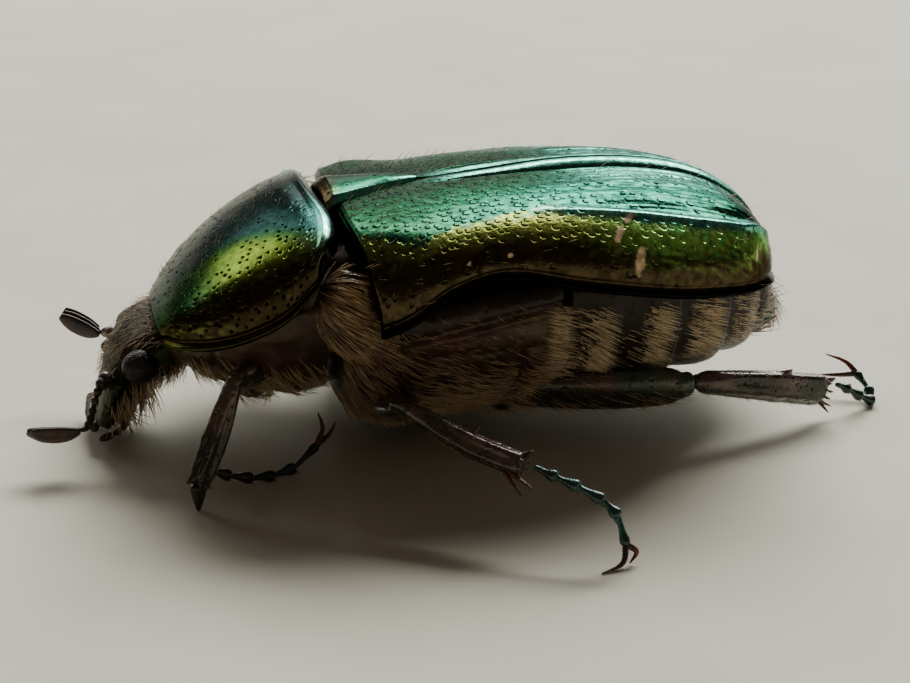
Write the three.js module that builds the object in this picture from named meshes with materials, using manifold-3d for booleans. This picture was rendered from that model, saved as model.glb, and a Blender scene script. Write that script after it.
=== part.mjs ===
// A rose chafer standing on a flat surface, life size, in millimetres.
// The head points along -X, the left side faces -Y and the back faces +Z; the feet stand on Z = 0.

import * as THREE from "three";
import { mergeVertices } from "three/addons/utils/BufferGeometryUtils.js";
import Module from "manifold-3d";

const wasm = await Module();
wasm.setup();

// Driving dimensions. Points are [x, y, z]; x = 0 is the tip of the scutellum.
const gap = 0.25; // clear space between neighbouring pieces
const shellThick = 0.55; // wing cases and pronotum
const standX = 0.9; // moves the outline's middle over the origin
const standY = 0;
const footWide = 0.4; // thickness of the foot segments
const lean = { forebody: 0.09, hindbody: 0.035 }; // drop towards the right side, per unit of width

// Stations of the wing case from its base to its tip: the suture beside the other wing case,
// and the free margin along the flank.
const wingSuture = [
  [-2.5, 1.32, 6.22], [-1.3, 0.75, 6.38], [0.05, gap / 2, 6.46], [1.6, gap / 2, 6.6],
  [3.4, gap / 2, 6.68], [5.4, gap / 2, 6.64], [7.2, gap / 2, 6.32], [8.5, gap / 2, 5.62],
  [9.25, gap / 2, 4.7], [9.5, gap / 2, 3.7],
];
const wingMargin = [
  [-1.95, 4.82, 3.6], [-1.2, 4.98, 3.95], [-0.1, 4.84, 4.6], [1.3, 4.66, 4.86],
  [3.3, 4.72, 4.48], [5.6, 4.64, 4.1], [7.5, 4.1, 3.88], [8.65, 3.0, 3.66],
  [9.2, 1.8, 3.52], [9.5, 0.65, 3.42],
];
const wingRoundness = [1, 0.56]; // powers of the section: width and height
const humeralBump = { at: [-1.5, 3.7], reach: 0.95, rise: 0.16 };
const apicalBump = { at: [8.1, 2.55], reach: 0.8, rise: 0.16 };
const sutureRidge = { from: 1.2, full: 4, width: 0.45, rise: 0.13 };

// Stations of the pronotum from its front edge to its base: the midline and the side margin.
const pronotumMidline = [
  [-7.28, 0, 3.42], [-6.6, 0, 4.28], [-5.7, 0, 5.16], [-4.75, 0, 5.82], [-3.85, 0, 6.3], [-3.0, 0, 6.5],
];
const pronotumMargin = [
  [-7.05, 2.3, 2.9], [-6.65, 3.15, 2.98], [-5.85, 3.9, 3.16], [-5.0, 4.35, 3.47],
  [-4.15, 4.6, 3.97], [-3.36, 4.62, 4.78],
];
const pronotumRoundness = { front: 0.6, back: 0.4 };

// Head: ridge line of the brow down to the clypeus, half width and depth at the same stations.
const headSpine = [[-6.5, 0, 2.85], [-7.25, 0, 2.5], [-7.85, 0, 1.95], [-8.32, 0, 1.25], [-8.66, 0, 0.58]];
const headWidth = [1.7, 1.75, 1.55, 1.3, 1.24];
const headDepth = [0.7, 0.76, 0.62, 0.4, 0.24];
const eye = { at: [-7.62, 1.62, 2.36], radii: [0.5, 0.42, 0.46] };

// Body below the wing cases: half width, top and bottom at stations along x.
const pterothorax = {
  x: [-2.85, -2.3, -1.2, 0.2, 1.6, 2.75],
  halfWidth: [3.9, 4.45, 4.72, 4.62, 4.35, 4.2],
  top: [6.0, 6.2, 6.35, 6.5, 6.6, 6.6],
  bottom: [1.5, 0.95, 0.68, 0.66, 0.8, 1.05],
};
const abdomen = {
  x: [3.0, 3.95, 5.85, 7.35, 8.4, 8.85],
  halfWidth: [4.3, 4.42, 4.3, 3.75, 2.9, 2.3],
  top: [6.6, 6.6, 6.5, 6.2, 5.5, 5.0],
  bottom: [1.18, 1.22, 1.32, 1.5, 1.75, 1.95],
};
const prosternum = {
  x: [-6.95, -6.2, -5.2, -4.1, -3.15],
  halfWidth: [2.1, 3.3, 4.05, 4.42, 4.4],
  top: [4.0, 5.2, 6.0, 6.5, 6.7],
  bottom: [2.35, 2.12, 1.85, 1.62, 1.7],
};
const sternites = { ends: [4.25, 5.85, 7.3, 8.35], step: 0.13 }; // raised rear rim of each belly plate

// Materials of the living animal's surfaces.
const finishes = {
  wing: { color: 0x2f6b4a, roughness: 0.28, metalness: 0.85 },
  pronotum: { color: 0x35602f, roughness: 0.24, metalness: 0.85 },
  underside: { color: 0x2a1c17, roughness: 0.45, metalness: 0.45 },
  head: { color: 0x1f2417, roughness: 0.4, metalness: 0.6 },
  eye: { color: 0x0c0a0a, roughness: 0.18, metalness: 0 },
  antenna: { color: 0x2a1512, roughness: 0.45, metalness: 0.2 },
  leg: { color: 0x241a17, roughness: 0.35, metalness: 0.55 },
  foot: { color: 0x14352c, roughness: 0.28, metalness: 0.7 },
};

const vector = (p) => new THREE.Vector3(p[0], p[1], p[2]);
const smooth = (a, b, t) => THREE.MathUtils.smoothstep(t, a, b);
const bell = (distance, reach) => Math.exp(-((distance / reach) ** 2));

// A smooth line through evenly shared stations, read at 0 to 1.
function lineThrough(points) {
  const curve = new THREE.CatmullRomCurve3(points.map(vector), false, "catmullrom", 0.5);
  return (t) => curve.getPoint(THREE.MathUtils.clamp(t, 0, 1));
}

// A smooth number through evenly shared stations, read at 0 to 1.
function valueThrough(values) {
  const line = lineThrough(values.map((value, i) => [i, value, 0]));
  return (t) => line(t).y;
}

// Moves every vertex of a three.js geometry with a function and leaves one closed surface.
function shaped(geometry, move) {
  geometry.deleteAttribute("normal");
  geometry.deleteAttribute("uv");
  const merged = mergeVertices(geometry, 1e-4);
  const place = merged.getAttribute("position");
  for (let i = 0; i < place.count; i++) {
    const p = move(place.getX(i), place.getY(i), place.getZ(i));
    place.setXYZ(i, p.x, p.y, p.z);
  }
  return mergeVertices(merged, 1e-4);
}

function solidOf(geometry) {
  const made = new wasm.Manifold(new wasm.Mesh({
    numProp: 3,
    vertProperties: new Float32Array(geometry.getAttribute("position").array),
    triVerts: new Uint32Array(geometry.index.array),
  }));
  if (made.volume() > 0) return made;
  const index = geometry.index.array.slice();
  for (let i = 0; i < index.length; i += 3) [index[i + 1], index[i + 2]] = [index[i + 2], index[i + 1]];
  return new wasm.Manifold(new wasm.Mesh({
    numProp: 3,
    vertProperties: new Float32Array(geometry.getAttribute("position").array),
    triVerts: new Uint32Array(index),
  }));
}

const largest = (solid) => solid.decompose().sort((a, b) => b.volume() - a.volume())[0];
const joined = (solids) => largest(solids.reduce((all, one) => all.add(one)));
const aboveFloor = (solid) => largest(solid.trimByPlane([0, 0, 1], 0));

function geometryOf(solid) {
  const mesh = solid.getMesh();
  const geometry = new THREE.BufferGeometry();
  geometry.setAttribute("position", new THREE.BufferAttribute(new Float32Array(mesh.vertProperties), 3));
  geometry.setIndex(new THREE.BufferAttribute(new Uint32Array(mesh.triVerts), 1));
  geometry.computeVertexNormals();
  return geometry;
}

// A round-ended limb through stations { at, wide, deep }, flattened across the facing direction.
function limb(stations, { sides = 8, steps = 6, facing = [0, 0, 1], blunt = 0.12, grow = 0 } = {}) {
  const line = lineThrough(stations.map((s) => s.at));
  const wide = valueThrough(stations.map((s) => s.wide));
  const deep = valueThrough(stations.map((s) => s.deep ?? s.wide));
  const up = vector(facing);
  return solidOf(shaped(new THREE.CylinderGeometry(1, 1, 1, sides, steps), (x, y, z) => {
    const t = y + 0.5;
    const toEnd = Math.min(1, Math.min(t, 1 - t) / blunt);
    const fullness = 0.5 + 0.5 * Math.sqrt(1 - (1 - toEnd) ** 2);
    const along = line(t + 0.01).sub(line(t - 0.01)).normalize();
    const across = new THREE.Vector3().crossVectors(along, up).normalize();
    const over = new THREE.Vector3().crossVectors(across, along);
    const reach = t < 1e-6 ? -grow : t > 1 - 1e-6 ? grow : 0;
    return line(t)
      .addScaledVector(along, reach)
      .addScaledVector(across, x * (wide(t) * 0.5 * fullness + grow))
      .addScaledVector(over, z * (deep(t) * 0.5 * fullness + grow));
  }));
}

// A tapered spine or tooth from a root to a tip.
function spine(root, tip, rootWide, grow = 0, tipWide = 0.14) {
  return limb([{ at: root, wide: rootWide }, { at: tip, wide: tipWide }], { sides: 6, steps: 1, blunt: 0.01, grow });
}

function ellipsoid(at, radii, turn = [0, 0, 0], columns = 14, rows = 10) {
  const rotation = new THREE.Euler(...turn);
  return solidOf(shaped(new THREE.SphereGeometry(1, columns, rows), (x, y, z) =>
    new THREE.Vector3(x * radii[0], y * radii[1], z * radii[2]).applyEuler(rotation).add(vector(at))));
}

// Outer surface of a wing case: along 0 to 1 from base to tip, across 0 to 1 from suture to margin.
const sutureLine = lineThrough(wingSuture);
const marginLine = lineThrough(wingMargin);
function wingSurface(side, along, across) {
  const suture = sutureLine(along);
  const margin = marginLine(along);
  const angle = (THREE.MathUtils.clamp(across, 0, 1) * Math.PI) / 2;
  const x = THREE.MathUtils.lerp(suture.x, margin.x, across ** 2);
  let y = suture.y + (margin.y - suture.y) * Math.sin(angle) ** wingRoundness[0];
  let z = margin.z + (suture.z - margin.z) * Math.cos(angle) ** wingRoundness[1];
  for (const bump of [humeralBump, apicalBump]) {
    const lift = bump.rise * bell(Math.hypot(x - bump.at[0], y - bump.at[1]), bump.reach);
    z += lift;
    y += lift * Math.sin(angle);
  }
  z += sutureRidge.rise * smooth(sutureRidge.from, sutureRidge.full, x) * (bell(y, sutureRidge.width) - 0.35 * bell(y - 1.1, 0.8));
  return new THREE.Vector3(x, side * y, z - lean.hindbody * side * y);
}

// Both wing cases as one surface, across -1 to 1, bridged over the scutellum.
function backSurface(along, across) {
  const place = wingSurface(Math.sign(across) || 1, along, Math.abs(across));
  if (across === 0) place.y = 0;
  return place;
}

// Outer surface of the pronotum: along 0 to 1 from front to base, across -1 to 1 from left to right.
const midline = lineThrough(pronotumMidline);
const sideLine = lineThrough(pronotumMargin);
function pronotumSurface(along, across) {
  const middle = midline(along);
  const margin = sideLine(along);
  const share = Math.abs(across);
  const angle = (Math.min(share, 1) * Math.PI) / 2;
  const power = THREE.MathUtils.lerp(pronotumRoundness.front, pronotumRoundness.back, along);
  const sideways = Math.sign(across) * margin.y * Math.sin(angle);
  const baseLobe = 0.18 * smooth(0.55, 1, along) * bell(share - 0.5, 0.26);
  return new THREE.Vector3(
    THREE.MathUtils.lerp(middle.x, margin.x, share ** 2) + baseLobe,
    sideways,
    margin.z + (middle.z - margin.z) * Math.cos(angle) ** power - lean.forebody * sideways,
  );
}

// A shell between two depths under a surface that is read on a grid.
function shellUnder(surface, grid, { outer = 0, inner = shellThick, spread = 0, keepSide = 0 } = {}) {
  const [alongSteps, acrossSteps, low, high] = grid;
  const step = 0.004;
  const read = (u, v) => surface(THREE.MathUtils.clamp(u, 0, 1), THREE.MathUtils.clamp(v, low, high));
  return solidOf(shaped(new THREE.BoxGeometry(1, 1, 1, alongSteps, acrossSteps, 1), (x, y, z) => {
    const u = x + 0.5;
    const v = THREE.MathUtils.lerp(low, high, y + 0.5);
    const du = read(u + step, v).sub(read(u - step, v));
    const inside = THREE.MathUtils.clamp(v, low + 0.02, high - 0.02);
    const dv = read(u, inside + step).sub(read(u, inside - step));
    const normal = du.clone().cross(dv).normalize();
    const place = read(u, v);
    if (normal.y * place.y + normal.z * (place.z - 2) < 0) normal.negate();
    place.addScaledVector(normal, z > 0 ? outer : -inner);
    const edgeU = u < 0.001 ? -spread : u > 0.999 ? spread : 0;
    const atMargin = v > high - 0.001 || (low < 0 && v < low + 0.001);
    place.addScaledVector(du.normalize(), edgeU);
    if (keepSide) place.y = keepSide * Math.max(keepSide * place.y, gap / 2);
    if (atMargin) place.z -= spread;
    return place;
  }));
}

const wingGrid = [20, 9, 0, 1];
const backCutGrid = [12, 14, -1, 1];
const pronotumGrid = [12, 20, -1, 1];
const pronotumCutGrid = [6, 12, -1, 1];
const clearance = { outer: 1.2, inner: shellThick + gap + 0.04, spread: gap + 0.12 };

function wingCase(side) {
  return shellUnder((u, v) => wingSurface(side, u, v), wingGrid, { keepSide: side });
}

// A body section, rounded below and flat above, along x.
function trunk({ x, halfWidth, top, bottom }, { sides = 22, steps = 14, ripple = () => 0, grow = 0 } = {}) {
  const place = valueThrough(x);
  const wide = valueThrough(halfWidth);
  const high = valueThrough(top);
  const low = valueThrough(bottom);
  return solidOf(shaped(new THREE.CylinderGeometry(1, 1, 1, sides, steps), (sideways, y, upward) => {
    const t = y + 0.5;
    const radius = Math.hypot(sideways, upward);
    const along = place(t) + (t < 1e-6 ? -grow : t > 1 - 1e-6 ? grow : 0);
    if (radius < 1e-6) return new THREE.Vector3(along, 0, (high(t) + low(t)) / 2);
    const c = sideways / radius;
    const s = upward / radius;
    const middle = low(t) + (high(t) - low(t)) * 0.58;
    const power = s < 0 ? 0.82 : 0.6;
    const swell = 1 + ripple(place(t));
    const sideReach = Math.sign(c) * Math.abs(c) ** 0.72 * (wide(t) * swell + grow);
    const reach = (s < 0 ? (middle - low(t)) * swell : high(t) - middle) + grow;
    return new THREE.Vector3(along, sideReach, middle + Math.sign(s) * Math.abs(s) ** power * reach);
  }));
}

// The belly plates overlap like roof tiles: each swells towards its rear rim.
function tileRipple(x) {
  const starts = [abdomen.x[0], ...sternites.ends];
  const index = starts.findLastIndex((start) => x >= start - 1e-6);
  const end = sternites.ends[index] ?? abdomen.x.at(-1);
  const share = (x - starts[Math.max(index, 0)]) / (end - starts[Math.max(index, 0)]);
  return (sternites.step / 3) * smooth(0.1, 1, share);
}

const backKeepOut = shellUnder(backSurface, backCutGrid, clearance);
const pronotumKeepOut = shellUnder(pronotumSurface, pronotumCutGrid, clearance);

function clearOf(solid, ...others) {
  return largest(others.reduce((rest, other) => rest.subtract(other), solid));
}

// The triangular scutellum between the bases of the wing cases.
const scutellum = { front: -2.62, tip: -0.25, halfBase: 1.16, top: 6.34, tipTop: 6.5, thick: 0.5 };
function scutellumPlate(grow = 0) {
  const length = scutellum.tip - scutellum.front;
  return solidOf(shaped(new THREE.BoxGeometry(1, 1, 1, 8, 6, 1), (x, y, z) => {
    const t = x + 0.5;
    const half = (scutellum.halfBase + grow) * (1 - t) ** 0.85 + 0.05 + grow * t;
    const crown = 0.14 * (1 - (2 * y) ** 2);
    const top = THREE.MathUtils.lerp(scutellum.top, scutellum.tipTop, t) + crown;
    return new THREE.Vector3(
      scutellum.front + t * (length + grow),
      2 * y * half,
      z > 0 ? top + 4 * grow : top - scutellum.thick - grow,
    );
  }));
}

// The bristly plate in front of each wing case's shoulder.
const epimeron = { top: [-2.6, 3.9, 5.35], front: [-2.8, 4.15, 4.45], back: [-2.3, 4.4, 3.5], thick: 0.95 };
function epimeronPlate(side, grow = 0) {
  const path = [epimeron.top, epimeron.front, epimeron.back].map(([x, y, z]) => [x, side * y, z]);
  const width = [0.8, 1.3, 1.15];
  return limb(path.map((at, i) => ({ at, wide: width[i], deep: epimeron.thick })),
    { sides: 10, steps: 7, facing: [0, side, 0], blunt: 0.35, grow });
}

function head(grow = 0) {
  const width = valueThrough(headWidth);
  const depth = valueThrough(headDepth);
  const line = lineThrough(headSpine);
  const skull = solidOf(shaped(new THREE.CylinderGeometry(1, 1, 1, 20, 10), (x, y, z) => {
    const t = y + 0.5;
    const along = line(t + 0.01).sub(line(t - 0.01)).normalize();
    const over = new THREE.Vector3(along.z, 0, -along.x);
    if (over.x > 0) over.negate();
    const radius = Math.max(Math.hypot(x, z), 1e-6);
    const c = x / radius;
    const s = z / radius;
    const flat = THREE.MathUtils.lerp(0.85, 0.42, t); // the clypeus is squarer than the brow
    const rim = t > 0.55 ? 0.08 * bell(Math.abs(c) - 1, 0.12) * (s >= 0 ? 1 : 0) : 0;
    const fill = radius < 0.5 ? 0 : 1;
    return line(t)
      .addScaledVector(along, t < 1e-6 ? -grow : t > 1 - 1e-6 ? grow : 0)
      .add(new THREE.Vector3(0, fill * Math.sign(c) * Math.abs(c) ** flat * (width(t) + grow), 0))
      .addScaledVector(over, fill * (Math.sign(s) * Math.abs(s) ** 0.7 * (depth(t) + grow) + rim));
  }));
  const tip = headSpine.at(-1);
  const clypeusRim = limb([-1.16, -0.6, 0, 0.6, 1.16].map((y) => ({
    at: [tip[0] - 0.3 + 0.06 * Math.abs(y), y, tip[2] - 0.02],
    wide: 0.34,
  })), { sides: 6, steps: 6, facing: [0, 0, 1], grow });
  const mentum = ellipsoid([-7.9, 0, 1.16], [0.62 + grow, 0.8 + grow, 0.42 + grow], [0, -0.82, 0]);
  return joined([skull, clypeusRim, mentum]);
}

const eyeBall = (side, grow = 0) =>
  ellipsoid([eye.at[0], side * eye.at[1], eye.at[2]], eye.radii.map((r) => r + grow), [0, 0, 0], 14, 10);

// Antennae: a stem of beads and a club of three leaves, as [base, elbow, stem end, club tip].
const antennae = {
  left: {
    side: -1,
    stem: [[-8.5, -1.36, 2.05], [-8.74, -1.68, 1.84], [-8.94, -2.02, 1.38], [-9.06, -2.26, 1.08]],
    club: [[-9.26, -2.35, 1.05], [-9.9, -2.4, 1.0], [-10.52, -2.45, 1.16]],
  },
  right: {
    side: 1,
    stem: [[-8.22, 1.36, 2.2], [-8.36, 1.84, 2.12], [-8.42, 2.3, 1.9]],
    club: [[-8.56, 2.44, 1.9], [-9.02, 2.6, 2.06], [-9.52, 2.76, 2.4]],
  },
};
function antennaStem({ stem }) {
  const line = lineThrough(stem);
  const beads = [0.1, 0.36, 0.62, 0.88].map((t, i) => {
    const p = line(t);
    const radius = i === 0 ? 0.27 : 0.2;
    return ellipsoid([p.x, p.y, p.z], [radius, radius, radius], [0, 0, 0], 6, 5);
  });
  return joined([limb(stem.map((at) => ({ at, wide: 0.26 })), { sides: 6, steps: 5 }), ...beads]);
}
function antennaClub({ side, club }, grow = 0) {
  const leaf = (shift, size) => limb(
    [0.3, 0.46, 0.45, 0.3].map((wide, i) => {
      const p = lineThrough(club)(i / 3);
      return { at: [p.x, p.y + side * shift, p.z + 0.3 * shift], wide: wide * size, deep: 0.2 };
    }),
    { sides: 8, steps: 4, facing: [0, 1, 0.15], blunt: 0.25, grow },
  );
  return joined([leaf(-0.14, 0.94), leaf(0, 1), leaf(0.14, 0.94)]);
}

// Palps: two short feelers under the clypeus.
const palpPaths = {
  left: [[-7.98, -0.72, 0.5], [-8.38, -0.86, 0.24], [-8.8, -0.98, 0.16]],
  right: [[-8.02, 0.6, 0.5], [-8.48, 0.48, 0.24], [-8.98, 0.3, 0.16]],
};
const palp = (path) => limb(path.map((at, i) => ({ at, wide: [0.26, 0.32, 0.28][i] })), { sides: 7, steps: 5 });

// Legs. Each tarsus runs through its six joints; claws are [base, bend, tip] from the last joint.
const legs = {
  fore_left: {
    side: -1, coxa: [[-4.75, -0.9, 1.6], [-4.95, -2.6, 2.15]],
    femur: [[-4.95, -2.2, 2.05], [-5.1, -3.5, 2.66], [-5.36, -4.2, 3.0]], femurWide: [0.8, 1.05, 0.72],
    tibia: [[-5.54, -4.7, 3.0], [-6.06, -5.1, 1.75], [-6.54, -5.36, 0.72]], tibiaWide: [0.44, 0.6, 0.56],
    tibiaDeep: 0.44, teeth: [[[-6.56, -5.36, 0.72], [-6.6, -5.4, -0.04], 0.46], [[-6.5, -5.3, 1.0], [-6.86, -5.46, 0.76], 0.32]],
    spurs: [[[-6.42, -5.25, 0.8], [-6.26, -5.12, 0.4], 0.24]],
    tarsus: [[-6.24, -5.0, 0.86], [-5.76, -4.76, 0.56], [-5.2, -4.48, 0.31], [-4.62, -4.15, 0.17], [-4.05, -3.84, 0.2], [-3.42, -3.42, 0.56]],
    claws: [[[-3.42, -3.42, 0.58], [-3.22, -3.15, 0.92], [-3.3, -2.95, 1.28]], [[-3.42, -3.42, 0.56], [-3.05, -3.12, 0.72], [-2.85, -2.98, 1.0]]],
  },
  fore_right: {
    side: 1, coxa: [[-4.75, 0.9, 1.6], [-4.72, 2.6, 2.05]], femur: [[-4.7, 2.2, 1.95], [-4.5, 3.4, 2.2], [-4.42, 4.3, 2.45]],
    femurWide: [0.8, 1.15, 0.8], tibia: [[-4.46, 4.8, 2.45], [-3.95, 5.55, 1.6], [-3.5, 6.2, 0.78]], tibiaWide: [0.5, 0.75, 0.82],
    tibiaDeep: 0.5, teeth: [[[-3.5, 6.2, 0.78], [-3.3, 6.62, 0.1], 0.5], [[-3.7, 5.95, 1.1], [-3.3, 6.45, 0.95], 0.34]],
    spurs: [[[-3.6, 6.0, 0.72], [-3.72, 6.0, 0.22], 0.22]],
    tarsus: [[-3.66, 5.72, 0.5], [-3.75, 5.15, 0.3], [-3.7, 4.65, 0.18], [-3.6, 4.15, 0.17], [-3.45, 3.65, 0.22], [-3.2, 3.1, 0.5]],
    claws: [[[-3.18, 3.05, 0.56], [-3.02, 2.72, 0.92], [-3.1, 2.45, 1.0]], [[-3.18, 3.05, 0.5], [-2.95, 2.66, 0.52], [-2.9, 2.4, 0.28]]],
  },
  mid_left: {
    side: -1, coxa: [[-1.3, -0.6, 0.95], [-1.4, -2.75, 1.15]],
    femur: [[-1.38, -2.3, 1.0], [-1.5, -4.2, 1.8], [-1.66, -5.95, 2.5]], femurWide: [0.85, 1.2, 0.78],
    tibia: [[-1.46, -6.4, 2.56], [-0.35, -7.45, 2.1], [0.72, -8.45, 1.86]], tibiaWide: [0.46, 0.6, 0.62],
    tibiaDeep: 0.48, teeth: [[[-0.35, -7.4, 2.2], [-0.08, -7.5, 2.56], 0.26], [[0.6, -8.3, 2.0], [1.0, -8.42, 2.2], 0.26]],
    spurs: [[[0.35, -8.3, 1.75], [0.93, -8.86, 1.38], 0.22], [[0.3, -8.3, 1.72], [0.6, -8.92, 1.3], 0.2]],
    tarsus: [[1.0, -8.72, 1.9], [1.36, -9.05, 1.79], [1.8, -9.4, 1.66], [2.3, -9.72, 1.42], [2.6, -9.92, 1.1], [2.74, -10.14, 0.46]],
    claws: [[[2.74, -10.14, 0.46], [2.6, -10.38, 0.12], [2.04, -10.6, 0.02]], [[2.76, -10.14, 0.46], [2.98, -10.2, 0.28], [2.8, -10.28, 0.04]]],
  },
  mid_right: {
    side: 1, coxa: [[-1.3, 0.6, 0.95], [-1.4, 2.75, 1.15]], femur: [[-1.38, 2.3, 1.0], [-1.45, 4.2, 1.85], [-1.5, 5.8, 2.6]],
    femurWide: [0.85, 1.25, 0.8], tibia: [[-1.4, 6.3, 2.7], [-0.5, 7.4, 2.2], [0.4, 8.4, 1.6]], tibiaWide: [0.48, 0.66, 0.78],
    tibiaDeep: 0.52, teeth: [[[-0.15, 7.75, 2.1], [0.1, 7.8, 2.5], 0.3], [[0.35, 8.3, 1.75], [0.75, 8.35, 1.95], 0.28]],
    spurs: [[[0.3, 8.4, 1.45], [0.42, 8.8, 0.95], 0.24], [[0.05, 8.4, 1.5], [0.05, 8.85, 1.12], 0.22]],
    tarsus: [[0.75, 8.68, 1.42], [1.12, 9.05, 1.2], [1.45, 9.42, 0.95], [1.72, 9.75, 0.7], [1.95, 10.02, 0.5], [2.1, 10.3, 0.36]],
    claws: [[[2.1, 10.32, 0.32], [2.25, 10.5, 0.1], [2.05, 10.62, 0.03]], [[2.12, 10.3, 0.32], [2.45, 10.4, 0.16], [2.7, 10.3, 0.03]]],
  },
  hind_left: {
    side: -1, coxa: [[1.5, -0.7, 1.0], [1.6, -3.05, 1.3]],
    femur: [[1.55, -2.65, 1.3], [3.9, -3.75, 1.62], [6.0, -4.3, 1.78]], femurWide: [0.85, 1.22, 1.12],
    tibia: [[6.38, -4.26, 1.82], [8.6, -3.72, 1.3], [10.4, -3.08, 0.76]], tibiaWide: [0.62, 0.82, 0.92],
    tibiaDeep: 0.5, teeth: [[[8.7, -3.66, 1.5], [9.3, -3.54, 1.64], 0.36], [[10.2, -3.1, 0.98], [10.78, -2.98, 1.04], 0.36]],
    spurs: [[[10.1, -3.12, 0.56], [10.66, -3.05, 0.26], 0.26], [[10.15, -3.2, 0.6], [10.5, -3.3, 0.18], 0.22]],
    tarsus: [[10.86, -3.0, 0.84], [11.2, -2.9, 0.66], [11.62, -2.8, 0.36], [12.05, -2.65, 0.13], [12.12, -2.2, 0.3], [11.92, -1.8, 0.62]],
    claws: [[[11.92, -1.8, 0.62], [11.68, -1.5, 0.88], [11.2, -1.2, 1.03]], [[11.9, -1.8, 0.6], [11.4, -1.65, 0.56], [10.85, -1.5, 0.56]]],
  },
  hind_right: {
    side: 1, coxa: [[1.5, 0.7, 1.0], [1.7, 3.05, 1.35]], femur: [[1.6, 2.6, 1.25], [3.0, 4.1, 1.75], [4.0, 5.4, 2.1]],
    femurWide: [0.85, 1.3, 1.05], tibia: [[4.25, 5.9, 2.08], [5.1, 7.3, 1.5], [5.9, 8.7, 0.92]], tibiaWide: [0.6, 0.84, 0.96],
    tibiaDeep: 0.52, teeth: [[[5.2, 7.45, 1.6], [5.6, 7.6, 1.95], 0.34], [[5.9, 8.55, 1.1], [6.3, 8.7, 1.4], 0.32]],
    spurs: [[[5.8, 8.6, 0.6], [5.98, 9.0, 0.12], 0.26], [[6.0, 8.6, 0.75], [6.35, 8.85, 0.4], 0.22]],
    tarsus: [[6.08, 9.05, 0.74], [6.32, 9.5, 0.52], [6.55, 9.88, 0.34], [6.8, 10.2, 0.2], [7.1, 10.42, 0.17], [7.5, 10.5, 0.24]],
    claws: [[[7.52, 10.5, 0.32], [7.85, 10.55, 0.45], [8.08, 10.4, 0.1]], [[7.52, 10.5, 0.3], [7.8, 10.32, 0.35], [7.98, 10.12, 0.05]]],
  },
};

const pulled = (from, to, by) => {
  const a = vector(from);
  const b = vector(to);
  return a.add(b.clone().sub(a).setLength(by)).toArray();
};

function femurOf(leg, grow = 0) {
  const [a, b] = leg.coxa;
  const coxa = limb([{ at: a, wide: 1.15, deep: 1.05 }, { at: b, wide: 0.95, deep: 0.9 }],
    { sides: 10, steps: 3, blunt: 0.3, grow });
  const thigh = limb(leg.femur.map((at, i) => ({ at, wide: leg.femurWide[i], deep: leg.femurWide[i] * 0.62 })),
    { sides: 10, steps: 6, facing: [0, leg.side, -0.25], blunt: 0.16, grow });
  return joined([coxa, thigh]);
}
function tibiaOf(leg, grow = 0) {
  const shin = limb(leg.tibia.map((at, i) => ({ at, wide: leg.tibiaWide[i], deep: leg.tibiaDeep })),
    { sides: 8, steps: 6, facing: [0, leg.side, 0], blunt: 0.08, grow });
  const points = [...leg.teeth, ...leg.spurs].map(([root, tip, wide]) => spine(root, tip, wide, grow));
  return aboveFloor(joined([shin, ...points]));
}
function tarsusOf(leg) {
  const segments = leg.tarsus.slice(1).map((end, i) => {
    const start = leg.tarsus[i];
    const last = i === leg.tarsus.length - 2;
    return limb([
      { at: start, wide: footWide * 0.72 },
      { at: pulled(start, end, vector(start).distanceTo(vector(end)) * 0.75), wide: footWide * (last ? 1 : 1.12) },
      { at: pulled(start, end, vector(start).distanceTo(vector(end)) + 0.06), wide: footWide * 0.9 },
    ], { sides: 6, steps: 3, blunt: 0.1 });
  });
  const claws = leg.claws.map((claw) => limb(
    claw.map((at, i) => ({ at, wide: [0.28, 0.21, 0.1][i] })), { sides: 5, steps: 4, blunt: 0.02 }));
  return aboveFloor(joined([...segments, ...claws]));
}

const beetle = new THREE.Group();
beetle.position.set(-standX, -standY, 0);

const materials = Object.fromEntries(
  Object.entries(finishes).map(([name, finish]) => [name, new THREE.MeshStandardMaterial(finish)]));
function add(name, material, solid) {
  const mesh = new THREE.Mesh(geometryOf(solid), materials[material]);
  mesh.name = name;
  beetle.add(mesh);
  return solid;
}

const sideNames = { "-1": "left", 1: "right" };

add("elytron_left", "wing", wingCase(-1));
add("elytron_right", "wing", wingCase(1));
add("scutellum", "wing", scutellumPlate());
add("pronotum", "pronotum", shellUnder(pronotumSurface, pronotumGrid));

const aroundEpimera = [-1, 1].map((side) => {
  add("mesepimeron_" + sideNames[side], "underside", clearOf(epimeronPlate(side), backKeepOut, pronotumKeepOut));
  return epimeronPlate(side, gap);
});

// Legs first, so that the body can be cut to seat each hip.
const hips = Object.entries(legs).map(([name, leg]) => {
  const femur = femurOf(leg);
  const tibia = tibiaOf(leg);
  const aroundTibia = tibiaOf(leg, gap);
  add("femur_" + name, "leg", clearOf(femur, aroundTibia));
  add("tibia_" + name, "leg", tibia);
  add("tarsus_" + name, "foot", clearOf(tarsusOf(leg), aroundTibia));
  return femurOf(leg, gap);
});

const chest = clearOf(trunk(pterothorax, { steps: 9 }), backKeepOut, pronotumKeepOut,
  ...aroundEpimera, ...hips);
add("pterothorax", "underside", chest);
add("prosternum", "underside", clearOf(trunk(prosternum, { steps: 8 }), pronotumKeepOut, ...aroundEpimera, ...hips));
add("abdomen", "underside", clearOf(trunk(abdomen, { steps: 22, ripple: tileRipple }), backKeepOut, ...hips));

// The last back plate closes the body behind the wing cases.
const pygidium = { at: [8.98, 0, 2.86], radii: [0.6, 2.25, 1.02], turn: [0, -0.12, 0] };
add("pygidium", "wing", clearOf(ellipsoid(pygidium.at, pygidium.radii, pygidium.turn, 18, 12),
  trunk(abdomen, { steps: 13, ripple: () => sternites.step / 3, grow: gap }), backKeepOut));

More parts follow.
